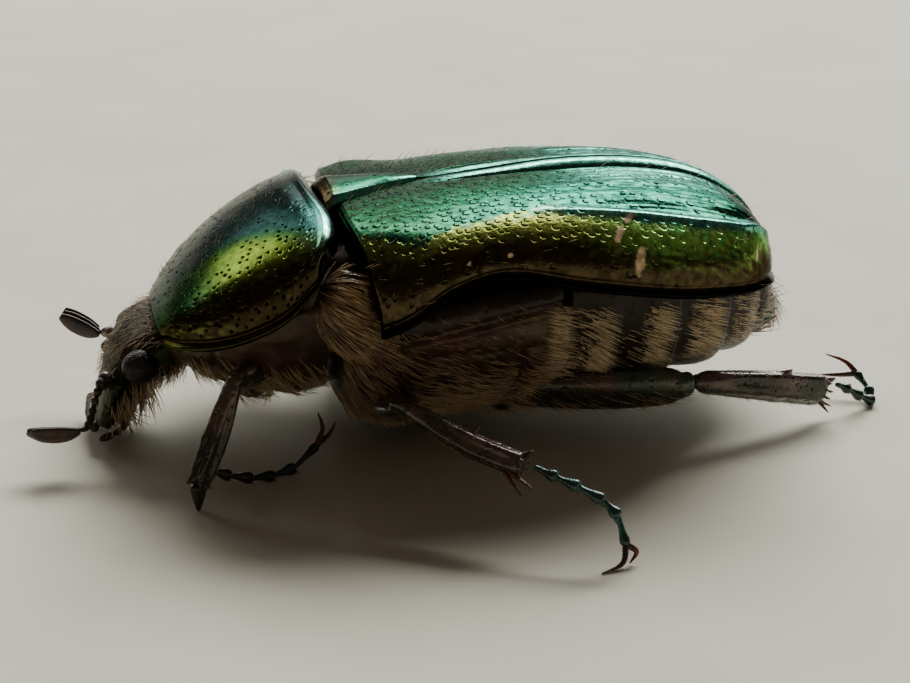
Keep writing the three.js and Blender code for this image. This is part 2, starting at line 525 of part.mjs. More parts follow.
const eyeSockets = [-1, 1].map((side) => eyeBall(side, gap));
add("head", "head", clearOf(head(), ...eyeSockets, pronotumKeepOut, trunk(prosternum, { steps: 8, grow: gap })));
const aroundHead = head(gap);
for (const side of [-1, 1]) {
  const name = sideNames[side];
  add("eye_" + name, "eye", eyeBall(side));
  add("antenna_club_" + name, "antenna", antennaClub(antennae[name]));
  add("antenna_stem_" + name, "antenna", clearOf(antennaStem(antennae[name]), aroundHead,
    antennaClub(antennae[name], gap), eyeBall(side, gap)));
  add("palp_" + name, "antenna", clearOf(palp(palpPaths[name]), aroundHead));
}

export default beetle;
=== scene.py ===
import math

import bpy
import bmesh
import numpy as np
from mathutils import Matrix, Vector


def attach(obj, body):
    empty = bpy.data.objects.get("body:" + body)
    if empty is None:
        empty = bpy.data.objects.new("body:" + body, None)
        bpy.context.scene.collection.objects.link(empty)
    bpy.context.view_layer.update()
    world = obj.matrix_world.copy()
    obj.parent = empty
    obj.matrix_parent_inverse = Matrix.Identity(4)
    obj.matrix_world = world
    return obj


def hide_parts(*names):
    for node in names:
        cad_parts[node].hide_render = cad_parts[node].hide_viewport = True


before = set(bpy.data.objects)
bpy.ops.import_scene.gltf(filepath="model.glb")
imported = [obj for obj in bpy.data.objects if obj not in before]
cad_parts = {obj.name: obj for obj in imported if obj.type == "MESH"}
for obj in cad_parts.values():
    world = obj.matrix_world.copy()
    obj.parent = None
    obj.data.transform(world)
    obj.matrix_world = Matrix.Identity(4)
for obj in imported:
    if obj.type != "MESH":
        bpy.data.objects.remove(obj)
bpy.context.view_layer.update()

# A rose chafer, life size. Shapes are worked out in millimetres with x = 0 at the scutellum's tip,
# then moved into the frame in metres by finishPiece.
standX = 0.9
metre = 0.001
fullTurn = 2 * math.pi
scene = bpy.context.scene


# numbers and curves
def lineThrough(points):  # smooth line through evenly shared stations
    given = np.asarray(points, float)
    if given.ndim == 1:
        given = given[:, None]
    held = np.vstack([2 * given[0] - given[1], given, 2 * given[-1] - given[-2]])
    spans = len(given) - 1

    def read(t):
        t = np.clip(np.asarray(t, float), 0, 1) * spans
        i = np.minimum(t.astype(int), spans - 1)
        w = (t - i)[..., None]
        p0, p1, p2, p3 = held[i], held[i + 1], held[i + 2], held[i + 3]
        a, b = 0.5 * (p2 - p0), 0.5 * (p3 - p1)
        return (2 * p1 - 2 * p2 + a + b) * w ** 3 + (3 * p2 - 3 * p1 - 2 * a - b) * w ** 2 + a * w + p1

    return read


def valueThrough(values):
    line = lineThrough(values)
    return lambda t: line(t)[..., 0]


def smooth(a, b, t):
    t = np.clip((t - a) / (b - a), 0, 1)
    return t * t * (3 - 2 * t)


def span(a, b, c, d, t):  # rises from a to b and falls from c to d
    return smooth(a, b, t) * (1 - smooth(c, d, t))


def bell(distance, reach):
    return np.exp(-(distance / reach) ** 2)


def mix(a, b, t):
    return a + (b - a) * t


def painted(look, first, *layers):  # colours laid over one another by their shares
    def named(colour):
        return np.asarray(look[colour] if isinstance(colour, str) else colour)

    colour = named(first)
    for over, share in layers:
        colour = colour + (named(over) - colour) * np.asarray(share)[..., None]
    return colour


def unit(v):
    return v / np.maximum(np.linalg.norm(v, axis=-1, keepdims=True), 1e-9)


def field(p, *parts):  # one value or vector for each point of a grid
    return np.stack([part + 0 * p[..., 0] for part in parts], -1)


def grain(p, size, seed=0):  # smooth noise from -1 to 1, features about size wide
    q = np.asarray(p, float) / np.asarray(size, float) + seed * 17.31
    i = np.floor(q).astype(np.int64)
    f = q - i
    f = f * f * (3 - 2 * f)
    total = 0
    for corner in range(8):
        d = np.array([corner & 1, corner >> 1 & 1, corner >> 2 & 1])
        n = ((i + d) * np.array([73856093, 19349663, 83492791])).sum(-1) & 0x7FFFFFFF
        n = (n ^ (n >> 13)) * 1274126177 & 0x7FFFFFFF
        n = (n ^ (n >> 11)) * 668265263 & 0x7FFFFFFF
        total = total + np.prod(np.where(d, f, 1 - f), -1) * (n / 0x3FFFFFFF - 1)
    return total


def gridNormals(p, wrap=False):
    du = np.gradient(p, axis=0)
    dv = (np.roll(p, -1, 1) - np.roll(p, 1, 1)) / 2 if wrap else np.gradient(p, axis=1)
    return unit(np.cross(du, dv))


def outwardNormals(p, wrap=True, centre=None):
    n = gridNormals(p, wrap)
    away = p - (p.reshape(-1, 3).mean(0) if centre is None else np.asarray(centre))
    return n * np.sign((n * away).sum(-1).mean())


def lengths(p, axis):  # running length along one axis of a grid
    step = np.linalg.norm(np.diff(p, axis=axis), axis=-1)
    zero = np.zeros_like(np.take(step, [0], axis=axis))
    return np.concatenate([zero, np.cumsum(step, axis=axis)], axis=axis)


def evenShares(dense, shares, count):  # per row, the shares that give columns of equal width
    run = lengths(dense, 1)
    return np.array([np.interp(np.linspace(0, r[-1], count), r, shares) for r in run])


# meshes
def newObject(name, data):
    made = bpy.data.objects.new(name, data)
    scene.collection.objects.link(made)
    return made


def newMesh(name, points, faces):
    mesh = bpy.data.meshes.new(name)
    mesh.from_pydata(np.asarray(points).tolist(), [], faces)
    return mesh


def gridFaces(rows, cols, wrap=False, first=0):
    r, c = np.meshgrid(np.arange(rows - 1), np.arange(cols if wrap else cols - 1), indexing="ij")
    n = (c + 1) % cols
    quads = np.stack([r * cols + c, r * cols + n, (r + 1) * cols + n, (r + 1) * cols + c], -1)
    return (quads.reshape(-1, 4) + first).tolist()


def closed(p):  # rings x sides x 3, closed with a pole at each end
    rings, sides = p.shape[:2]
    points = np.vstack([p.reshape(-1, 3), p[0].mean(0), p[-1].mean(0)])
    faces = gridFaces(rings, sides, True)
    low, last = rings * sides, (rings - 1) * sides
    for j in range(sides):
        k = (j + 1) % sides
        faces += [[low, k, j], [low + 1, last + j, last + k]]
    return points, faces


def shellOf(outer, inner):  # a fine upper side over a coarse lower side, one closed surface
    rows, cols = outer.shape[:2]
    step = 4
    faces = gridFaces(rows, cols)
    lower, extra = {}, []

    def under(i, j):
        if (i, j) not in lower:
            lower[i, j] = rows * cols + len(extra)
            extra.append(inner[i, j])
        return lower[i, j]

    rim = [(i, 0) for i in range(rows)] + [(rows - 1, j) for j in range(1, cols)]
    rim += [(i, cols - 1) for i in range(rows - 2, -1, -1)] + [(0, j) for j in range(cols - 2, 0, -1)]
    for a, b in zip(rim, rim[1:] + rim[:1]):
        faces.append([a[0] * cols + a[1], b[0] * cols + b[1], under(*b), under(*a)])
    for i in range(0, rows - 1, step):
        for j in range(0, cols - 1, step):
            m, n = i + step, j + step
            ring = [(i, c) for c in (range(j, n) if i == 0 else [j])]
            ring += [(r, n) for r in (range(i, m) if n == cols - 1 else [i])]
            ring += [(m, c) for c in (range(n, j, -1) if m == rows - 1 else [n])]
            ring += [(r, j) for r in (range(m, i, -1) if j == 0 else [m])]
            faces.append([under(*place) for place in ring])
    return np.vstack([outer.reshape(-1, 3), np.array(extra)]), faces


def joinParts(name, parts):
    faces, first = [], 0
    for p, f in parts:
        faces += [[k + first for k in face] for face in f]
        first += len(p)
    mesh = newMesh(name, np.vstack([p for p, f in parts]), faces)
    turned = bmesh.new()
    turned.from_mesh(mesh)
    bmesh.ops.recalc_face_normals(turned, faces=turned.faces)
    turned.to_mesh(mesh)
    turned.free()
    mesh.shade_smooth()
    return newObject(name, mesh)


def evaluated(made, name):  # the modifiers' result as a plain mesh on a new object
    view = bpy.context.evaluated_depsgraph_get()
    mesh = bpy.data.meshes.new_from_object(made.evaluated_get(view), depsgraph=view)
    mesh.name = name
    bpy.data.objects.remove(made)
    result = newObject(name, mesh)
    mesh.shade_smooth()
    return result


def fuse(name, parts, voxel, rounds=3):  # one skin over overlapping closed parts
    rough = joinParts(name + "Rough", parts)
    remesh = rough.modifiers.new("remesh", "REMESH")
    remesh.mode = "VOXEL"
    remesh.voxel_size = voxel
    soft = rough.modifiers.new("soft", "SMOOTH")
    soft.factor = 0.5
    soft.iterations = rounds
    return evaluated(rough, name)


def oneOf(name, group):  # several finished meshes as one object
    whole = bmesh.new()
    for one in group:
        whole.from_mesh(one.data)
    mesh = bpy.data.meshes.new(name)
    whole.to_mesh(mesh)
    whole.free()
    for material in group[0].data.materials:
        mesh.materials.append(material)
    for one in group:
        bpy.data.objects.remove(one)
    mesh.shade_smooth()
    return newObject(name, mesh)


def perPoint(made, key="co"):  # the places, or the normals, of a mesh's points
    values = np.empty(len(made.data.vertices) * 3)
    made.data.vertices.foreach_get(key, values)
    return values.reshape(-1, 3)


def setPlaces(made, p):
    made.data.vertices.foreach_set("co", np.ascontiguousarray(p, np.float32).ravel())
    made.data.update()


def onFloor(made):
    p = perPoint(made)
    p[:, 2] = np.maximum(p[:, 2], 0.0)
    setPlaces(made, p)


def store(made, values):  # values per point, by their names
    for name, value in values.items():
        value = np.asarray(value, np.float32)
        kind, key = ("FLOAT_VECTOR", "vector") if value.ndim == 2 else ("FLOAT", "value")
        if name == "paint":
            kind, key, value = "FLOAT_COLOR", "color", np.hstack([value, np.ones((len(value), 1))])
        made.data.attributes.new(name, kind, "POINT").data.foreach_set(key, value.ravel())


def padded(values, count, fill=0.0):  # carries a grid's values over to the points added to it
    values = np.asarray(values, float).reshape(-1, *np.shape(values)[2:])
    return np.concatenate([values, fill + np.zeros((count - len(values), *values.shape[1:]))])


# limbs, balls and body sections, by the same rules as the solids
def tube(stations, sides=24, steps=40, facing=(0, 0, 1), blunt=0.12, shape=None):
    line = lineThrough([s[0] for s in stations])
    t = np.linspace(0, 1, steps + 1)
    toEnd = np.minimum(1, np.minimum(t, 1 - t) / blunt)
    fullness = 0.5 + 0.5 * np.sqrt(1 - (1 - toEnd) ** 2)
    wide, deep = [valueThrough([s[k] for s in stations])(t) * 0.5 * fullness for k in (1, -1)]
    along = unit(line(t + 0.01) - line(t - 0.01))
    across = unit(np.cross(along, np.asarray(facing, float)))
    over = np.cross(across, along)
    angle = np.linspace(0, fullTurn, sides, endpoint=False)[None]
    more = shape(t[:, None], angle) if shape else 0
    places = line(t)[:, None]
    for way, turn, half in ((across, np.cos(angle), wide), (over, np.sin(angle), deep)):
        places = places + way[:, None] * (turn * half[:, None] + turn * more)[..., None]
    return places


def limb(stations, **more):
    return closed(tube(stations, **more))


def spike(root, tip, rootWide, tipWide=0.05, sides=12, steps=10):
    root, tip = np.array(root, float), np.array(tip, float)
    return limb([(root, rootWide), ((root + tip) / 2, rootWide * 0.66), (tip, tipWide)],
                sides=sides, steps=steps, blunt=0.02)


def ball(at, radii, turn=0, columns=40, rows=24):  # turn is about y
    lat = np.linspace(0.02, math.pi - 0.02, rows)[:, None]
    lon = np.linspace(0, fullTurn, columns, endpoint=False)[None]
    p = np.stack([np.sin(lat) * np.cos(lon), np.sin(lat) * np.sin(lon), np.cos(lat) + 0 * lon], -1)
    p = p * np.array(radii)
    c, s = math.cos(turn), math.sin(turn)
    return np.stack([p[..., 0] * c + p[..., 2] * s, p[..., 1], -p[..., 0] * s + p[..., 2] * c], -1) + np.array(at)


def knob(at, radius, columns=24, rows=16, turn=0):
    return closed(ball(at, np.ones(3) * radius, turn, columns, rows))


pterothorax = {
    "x": [-2.85, -2.3, -1.2, 0.2, 1.6, 2.75], "halfWidth": [3.9, 4.45, 4.72, 4.62, 4.35, 4.2],
    "top": [6.0, 6.2, 6.35, 6.5, 6.6, 6.6], "bottom": [1.5, 0.95, 0.68, 0.66, 0.8, 1.05], "tuck": 0.72}
abdomen = {
    "x": [3.0, 3.95, 5.85, 7.35, 8.4, 8.85], "halfWidth": [4.3, 4.42, 4.3, 3.75, 2.9, 2.3],
    "top": [6.6, 6.6, 6.5, 6.2, 5.5, 5.0], "bottom": [1.18, 1.22, 1.32, 1.5, 1.75, 1.95], "tuck": 0.72,
    "plates": [3.0, 4.25, 5.85, 7.3, 8.35, 8.9], "step": 0.13}
prosternum = {
    "x": [-6.95, -6.2, -5.2, -4.1, -3.15], "halfWidth": [2.1, 3.3, 4.05, 4.42, 4.4],
    "top": [4.0, 5.2, 6.0, 6.5, 6.7], "bottom": [2.35, 2.12, 1.85, 1.62, 1.7], "tuck": 0.3}


def tileShare(x):  # 0 to 1 along each belly plate
    ends = np.array(abdomen["plates"])
    i = np.clip(np.searchsorted(ends, x, side="right") - 1, 0, len(ends) - 2)
    return np.clip((x - ends[i]) / (ends[i + 1] - ends[i]), 0, 1)


def tileRipple(x):
    return abdomen["step"] / 3 * smooth(0.1, 1, tileShare(x))


def section(body, steps, sides, ripple=None):  # tuck keeps the upper half under the wing cases
    t = np.linspace(0, 1, steps)[:, None]
    place, wide, high, low = [valueThrough(body[key])(t) for key in ("x", "halfWidth", "top", "bottom")]
    swell = 1 + (ripple(place) if ripple else 0)

    def ring(angle):
        c, s = np.cos(angle), np.sin(angle)
        middle = low + (high - low) * 0.58
        pull = 1 - (1 - body["tuck"]) * smooth(0.0, 0.5, s)
        y = np.sign(c) * np.abs(c) ** 0.72 * wide * swell * pull
        reach = np.where(s < 0, (middle - low) * swell, (high - middle) * body["tuck"])
        z = middle + np.sign(s) * np.abs(s) ** np.where(s < 0, 0.82, 0.6) * reach
        return np.stack([place + 0 * y, y, z], -1)

    angle = np.linspace(0, fullTurn, 721)[None] + 0 * t
    return ring(evenShares(ring(angle), angle[0], sides + 1)[:, :-1])


# node trees
class Graph:  # short calls that add one node each
    def __init__(self, tree):
        self.tree = tree
        self.inMesh = tree.bl_idname == "GeometryNodeTree"

    def feed(self, socket, value):
        if isinstance(value, bpy.types.NodeSocket):
            self.tree.links.new(value, socket)
        else:
            socket.default_value = value

    def add(self, kind, settings=None, **inputs):  # i0, i1 and so on are inputs by number
        made = self.tree.nodes.new(kind)
        for key, value in (settings or {}).items():
            setattr(made, key, value)
        for key, value in inputs.items():
            self.feed(made.inputs[int(key[1:]) if key[1:].isdigit() else key.replace("_", " ")], value)
        return made

    def math(self, kind, *values):
        inputs = {f"i{k}": value for k, value in enumerate(values)}
        return self.add("ShaderNodeMath", {"operation": kind}, **inputs).outputs[0]

    def times(self, a, b):
        return self.math("MULTIPLY", a, b)

    def vector(self, kind, *values):
        inputs = {f"i{3 if k and kind == 'SCALE' else k}": value for k, value in enumerate(values)}
        made = self.add("ShaderNodeVectorMath", {"operation": kind}, **inputs)
        return made.outputs["Value" if kind == "DOT_PRODUCT" else "Vector"]

    def step(self, value, low, high, toLow=0.0, toHigh=1.0):
        return self.add("ShaderNodeMapRange", {"interpolation_type": "SMOOTHSTEP"}, Value=value, From_Min=low,
                        From_Max=high, To_Min=toLow, To_Max=toHigh).outputs[0]

    def noise(self, place, scale, **more):
        return self.add("ShaderNodeTexNoise", None, Vector=place, Scale=scale, **more).outputs["Fac"]

    def tint(self, share, first, second, kind="MIX"):
        made = self.add("ShaderNodeMix", {"data_type": "RGBA", "blend_type": kind}, i0=share, i6=first, i7=second)
        return made.outputs[2]

    def attribute(self, name, kind="FLOAT"):
        if self.inMesh:
            return self.add("GeometryNodeInputNamedAttribute", {"data_type": kind}, Name=name).outputs[0]
        made = self.add("ShaderNodeAttribute", {"attribute_name": name})
        return made.outputs[{"FLOAT": "Fac", "FLOAT_VECTOR": "Vector", "FLOAT_COLOR": "Color"}[kind]]

    def keep(self, geometry, name, value, kind="FLOAT", domain="POINT"):
        return self.add("GeometryNodeStoreNamedAttribute", {"data_type": kind, "domain": domain},
                        Geometry=geometry, Name=name, Value=value).outputs[0]

    def finish(self, geometry, material, result):
        done = self.add("GeometryNodeSetMaterial", None, Geometry=geometry, Material=material)
        self.tree.links.new(done.outputs[0], result["Geometry"])
        return self.tree


def treeWith(name, **sockets):  # a mesh tree; useTree gives each of these inputs its value
    tree = bpy.data.node_groups.new(name, "GeometryNodeTree")
    tree.interface.new_socket("Geometry", in_out="OUTPUT", socket_type="NodeSocketGeometry")
    for label, kind in {"Geometry": "Geometry", **sockets}.items():
        tree.interface.new_socket(label, in_out="INPUT", socket_type="NodeSocket" + kind)
    return Graph(tree), tree.nodes.new("NodeGroupInput").outputs, tree.nodes.new("NodeGroupOutput").inputs


def useTree(made, tree, values):  # sets the inputs by their identifiers, then gives the plain result
    modifier = made.modifiers.new(tree.name, "NODES")
    modifier.node_group = tree
    for item in tree.interface.items_tree:
        if item.in_out == "INPUT" and item.name in values:
            modifier[item.identifier] = values[item.name]
    return evaluated(made, made.name)


def pitPattern(g, dimensions, look):  # round pits, or crescents by pitMoon, scattered over the chart
    moon = g.attribute("pitMoon")
    place = g.vector("SCALE", g.attribute("chart", "FLOAT_VECTOR"), g.math("DIVIDE", 1.0, look["Spacing"]))
    cell = g.add("ShaderNodeTexVoronoi", {"voronoi_dimensions": dimensions}, Vector=place, Scale=1.0,
                 Randomness=look["Randomness"]).outputs
    distance = g.times(cell["Distance"], look["Spacing"])
    separate = "FunctionNodeSeparateColor" if g.inMesh else "ShaderNodeSeparateColor"
    chance = g.add(separate, None, Color=cell["Color"]).outputs
    radius = g.times(look["Radius"], g.math("MULTIPLY_ADD", chance[0], 0.5, 0.72))
    away = g.vector("NORMALIZE", g.vector("SUBTRACT", place, cell["Position"]))
    facing = g.vector("DOT_PRODUCT", away, look["Opening"])
    pitRound = g.step(distance, g.times(radius, 0.45), radius, 1.0, 0.0)
    ring = g.step(g.math("ABSOLUTE", g.math("SUBTRACT", distance, radius)), 0.0, look["Ring"], 1.0, 0.0)
    ring = g.times(ring, g.step(facing, -0.35, 0.35))
    profile = g.math("ADD", g.times(ring, moon), g.times(pitRound, g.math("SUBTRACT", 1.0, moon)))
    kept = g.math("GREATER_THAN", g.attribute("pitMask"), chance[1])  # fewer pits where the mask is low
    return g.times(profile, kept)


def punctureTree(dimensions):
    g, given, result = treeWith("punctures" + dimensions, Spacing="Float", Radius="Float", Ring="Float",
                                Depth="Float", Randomness="Float", Opening="Vector", Finish="Material")
    profile = pitPattern(g, dimensions, given)
    pitted = g.keep(given["Geometry"], "pit", profile)
    normal = g.add("GeometryNodeInputNormal").outputs[0]
    offset = g.vector("SCALE", normal, g.times(g.times(profile, given["Depth"]), -1.0))
    moved = g.add("GeometryNodeSetPosition", None, Geometry=pitted, Offset=offset)
    return g.finish(moved.outputs[0], given["Finish"], result)


def coatTree():  # hairs that lie along the skin's hairFlow
    g, given, result = treeWith("combedHair", Strand="Object", Density="Float", Length="Float", Lift="Float",
                                Scatter="Float", Seed="Int", Finish="Material")

    def random(low, high, seed, kind="FLOAT"):
        made = g.add("FunctionNodeRandomValue", {"data_type": kind}, Seed=seed)
        first, output = (0, 0) if kind == "FLOAT_VECTOR" else (2, 1)
        made.inputs[first].default_value, made.inputs[first + 1].default_value = low, high
        return made.outputs[output]

    density = g.times(given["Density"], g.attribute("hairDensity"))
    roots = g.add("GeometryNodeDistributePointsOnFaces", {"distribute_method": "RANDOM"}, Mesh=given["Geometry"],
                  Density=density, Seed=given["Seed"]).outputs
    lifted = g.vector("SCALE", roots["Normal"], given["Lift"])
    astray = g.vector("SCALE", random((-1, -1, -1), (1, 1, 1), 11, "FLOAT_VECTOR"), given["Scatter"])
    lie = g.vector("ADD", g.vector("ADD", g.attribute("hairFlow", "FLOAT_VECTOR"), lifted), astray)
    turn = g.add("FunctionNodeAlignRotationToVector", {"axis": "Z"}, Vector=lie)
    turn = g.add("FunctionNodeAlignRotationToVector", {"axis": "X", "pivot_axis": "Z"}, Rotation=turn.outputs[0],
                 Vector=g.vector("SCALE", roots["Normal"], -1.0))
    size = g.times(g.times(given["Length"], g.attribute("hairLength")), random(0.65, 1.2, 12))
    tinted = g.keep(roots["Points"], "tint", random(0.0, 1.0, 13))
    strand = g.add("GeometryNodeObjectInfo", {"transform_space": "ORIGINAL"}, Object=given["Strand"])
    copies = g.add("GeometryNodeInstanceOnPoints", None, Points=tinted, Instance=strand.outputs["Geometry"],
                   Rotation=turn.outputs[0], Scale=size)
    real = g.add("GeometryNodeRealizeInstances", None, Geometry=copies.outputs[0])
    onStrand = g.vector("SUBTRACT", g.attribute("strandUV", "FLOAT_VECTOR"), (0.5, 0.5, 0))
    chart = g.vector("ADD", g.vector("SCALE", onStrand, 0.003), g.attribute("skinUV", "FLOAT_VECTOR"))
    return g.finish(g.keep(real.outputs[0], "OFBake", chart, "FLOAT2", "CORNER"), given["Finish"], result)


# finishes
def newFinish(name):
    material = bpy.data.materials.new(name)
    material.use_nodes = True
    g = Graph(material.node_tree)
    return material, g, g.tree.nodes["Principled BSDF"].inputs, g.add("ShaderNodeTexCoord").outputs["Object"]


def cuticle(name, look):  # horny skin: colour from the paint attribute, pits, mottling and a fine grain
    material, g, shader, place = newFinish(name)
    place = g.add("ShaderNodeMapping", None, Vector=place, Scale=(1000, 1000, 1000)).outputs[0]
    paint = g.attribute("paint", "FLOAT_COLOR")
    sharp = "pattern" in look  # the same pits as in the mesh, with sharp edges
    pit = pitPattern(g, "2D", look["pattern"]) if sharp else g.attribute("pit")
    mottle = g.noise(place, look["mottle"], Detail=3.0)
    fine = g.noise(place, look["grain"], Detail=2.0, Roughness=0.6)
    strength = g.step(mottle, 0.3, 0.7, 1 - look["vary"], 1 + look["vary"])
    grey = g.add("ShaderNodeCombineColor", None, Red=strength, Green=strength, Blue=strength).outputs[0]
    dark = g.times(pit, look["pitShade"])
    g.feed(shader["Base Color"], g.tint(dark, g.tint(1.0, paint, grey, "MULTIPLY"), (*look["pit"], 1)))
    rough = g.step(fine, 0.3, 0.7, *look["rough"])
    g.feed(shader["Roughness"], g.math("ADD", rough, g.times(pit, 0.25)))
    g.feed(shader["Metallic"], g.step(g.attribute("matt"), 0.0, 1.0, look["metal"], 0.0))
    g.feed(shader["Coat Weight"], g.times(g.math("SUBTRACT", 1.0, dark), look["coat"]))
    height = g.math("SUBTRACT", g.times(fine, look["relief"]), g.times(pit, 0.6))
    relief = g.add("ShaderNodeBump", None, Strength=1.0, Distance=0.00002, Height=height)
    g.feed(shader["Normal"], relief.outputs[0])
    shader["Coat Roughness"].default_value = look["coatRough"]
    shader["Specular Tint"].default_value = (*[look.get("edge", 1.0)] * 3, 1)
    shader["Specular IOR Level"].default_value = look.get("specular", 0.5)
    return material


def hairFinish(name, look):
    material, g, shader, place = newFinish(name)
    ramp = g.add("ShaderNodeValToRGB", None, Fac=g.attribute("tint"))
    for stop, key in zip(ramp.color_ramp.elements, ("dark", "pale")):
        stop.color = (*look[key], 1)
    along = g.step(g.attribute("strandAlong"), 0.0, 0.55, 0.15, 1.0)
    g.feed(shader["Base Color"], g.tint(along, (*look["root"], 1), ramp.outputs[0]))
    streak = g.noise(place, 9000.0)
    g.feed(shader["Roughness"], g.step(streak, 0.3, 0.7, look["rough"] - 0.08, look["rough"] + 0.08))
    shader["Specular IOR Level"].default_value = 0.6
    shader["Sheen Weight"].default_value = 0.15
    return material


wingPits = {"Spacing": 0.27, "Radius": 0.08, "Ring": 0.035, "Depth": 0.01, "Randomness": 0.85,
            "Opening": (-0.75, 0.66, 0.0)}
shieldPits = {"Spacing": 0.27, "Radius": 0.06, "Ring": 0.03, "Depth": 0.016, "Randomness": 0.9,
              "Opening": (1.0, 0.0, 0.0)}
roundPit = {"Ring": 0.03, "Randomness": 0.9, "Opening": (0, 1, 0)}
wingFinish = cuticle("wingFinish", {
    "mottle": 5.0, "vary": 0.42, "grain": 14.0, "relief": 0.3, "pit": (0.004, 0.012, 0.008), "pitShade": 0.9,
    "rough": (0.18, 0.27), "metal": 0.97, "coat": 0.02, "coatRough": 0.12, "edge": 0.42, "pattern": wingPits})
shieldFinish = cuticle("shieldFinish", {
    "mottle": 6.0, "vary": 0.3, "grain": 16.0, "relief": 0.2, "pit": (0.004, 0.006, 0.003), "pitShade": 0.95,
    "rough": (0.16, 0.24), "metal": 0.97, "coat": 0.01, "coatRough": 0.1, "edge": 0.42, "pattern": shieldPits})
underFinish = cuticle("underFinish", {
    "mottle": 1.8, "vary": 0.3, "grain": 18.0, "relief": 0.4, "pit": (0.01, 0.007, 0.005), "pitShade": 0.7,
    "rough": (0.3, 0.42), "metal": 0.4, "coat": 0.05, "coatRough": 0.2, "specular": 0.3})
headFinish = cuticle("headFinish", {
    "mottle": 2.5, "vary": 0.25, "grain": 20.0, "relief": 0.35, "pit": (0.01, 0.01, 0.006), "pitShade": 0.8,
    "rough": (0.3, 0.42), "metal": 0.6, "coat": 0.05, "coatRough": 0.2, "edge": 0.4, "specular": 0.3})
eyeFinish = cuticle("eyeFinish", {
    "mottle": 5.0, "vary": 0.2, "grain": 34.0, "relief": 0.25, "pit": (0.005, 0.004, 0.006), "pitShade": 0.5,
    "rough": (0.24, 0.32), "metal": 0.0, "coat": 0.06, "coatRough": 0.1, "specular": 0.25})
legFinish = cuticle("legFinish", {
    "mottle": 2.8, "vary": 0.3, "grain": 16.0, "relief": 0.35, "pit": (0.008, 0.007, 0.006), "pitShade": 0.7,
    "rough": (0.24, 0.36), "metal": 0.6, "coat": 0.3, "coatRough": 0.15})
footFinish = cuticle("footFinish", {
    "mottle": 3.5, "vary": 0.3, "grain": 22.0, "relief": 0.3, "pit": (0.01, 0.01, 0.008), "pitShade": 0.5,
    "rough": (0.22, 0.32), "metal": 0.65, "coat": 0.25, "coatRough": 0.12})
antennaFinish = cuticle("antennaFinish", {
    "mottle": 4.0, "vary": 0.25, "grain": 24.0, "relief": 0.4, "pit": (0.01, 0.006, 0.005), "pitShade": 0.5,
    "rough": (0.36, 0.48), "metal": 0.1, "coat": 0.15, "coatRough": 0.25})
goldenHair = hairFinish("goldenHair", {
    "dark": (0.3, 0.17, 0.06), "pale": (0.66, 0.46, 0.2), "root": (0.07, 0.035, 0.015), "rough": 0.42})
strawHair = hairFinish("strawHair", {
    "dark": (0.55, 0.38, 0.18), "pale": (0.95, 0.76, 0.46), "root": (0.12, 0.07, 0.03), "rough": 0.4})
paleHair = hairFinish("paleHair", {
    "dark": (0.42, 0.32, 0.2), "pale": (0.8, 0.72, 0.56), "root": (0.2, 0.13, 0.07), "rough": 0.4})
flatPits, roundPits, combedHair = punctureTree("2D"), punctureTree("3D"), coatTree()


def finishPiece(made, material, slot, *nodes):  # moves a piece into the frame and says what it rides and replaces
    if not made.data.materials:
        made.data.materials.append(material)
    made.data.transform(Matrix.Translation((-standX, 0, 0)))
    made.data.transform(Matrix.Scale(metre, 4))
    made.data.update()
    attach(made, "root")
    if nodes:
        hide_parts(*nodes)


def pitsOver(made, material, mask, spacing, radius, depth, shift=0.0):  # round pits on a fused skin
    none = np.zeros(len(made.data.vertices))
    store(made, {"chart": perPoint(made) + shift * 10, "pitMask": mask + none, "pitMoon": none})
    return useTree(made, roundPits, {**roundPit, "Spacing": spacing, "Radius": radius, "Depth": depth,
                                     "Finish": material})


def shellPiece(name, node, slot, outer, inner, back, finish, pits, values):  # back is the underside's colour
    points, faces = shellOf(outer, inner)
    made = joinParts(name, [(points, faces)])
    count = len(points)
    store(made, {key: padded(value, count, back if key == "paint" else 0.0) for key, value in values.items()})
    finishPiece(useTree(made, flatPits, {**pits, "Finish": finish}), finish, slot, node)


print("tools ready")

# camera, floor and light
cameraLook = {"at": (-0.01005, -0.04731, 0.02036), "down": 21.03, "turn": -12, "lens": 75.16, "sensor": 36,
              "near": 0.002, "far": 5}
camera = newObject("camera", bpy.data.cameras.new("camera"))
camera.location = cameraLook["at"]
camera.rotation_euler = (math.radians(90 - cameraLook["down"]), 0, math.radians(cameraLook["turn"]))
camera.data.lens = cameraLook["lens"]
camera.data.sensor_width = cameraLook["sensor"]
camera.data.clip_start, camera.data.clip_end = cameraLook["near"], cameraLook["far"]
scene.camera = camera

floorLook = {"half": 0.9, "colour": (0.6, 0.585, 0.5), "speck": (0.56, 0.545, 0.46), "rough": 0.85}
corners = [(x * floorLook["half"], y * floorLook["half"], 0) for x, y in ((-1, -1), (1, -1), (1, 1), (-1, 1))]
floor = newObject("floor", newMesh("floor", corners, [(0, 1, 2, 3)]))
floorFinish, g, shader, place = newFinish("floorFinish")
speckle = g.step(g.noise(place, 160.0, Detail=5.0), 0.35, 0.65)
g.feed(shader["Base Color"], g.tint(speckle, (*floorLook["speck"], 1), (*floorLook["colour"], 1)))
shader["Roughness"].default_value = floorLook["rough"]
floor.data.materials.append(floorFinish)

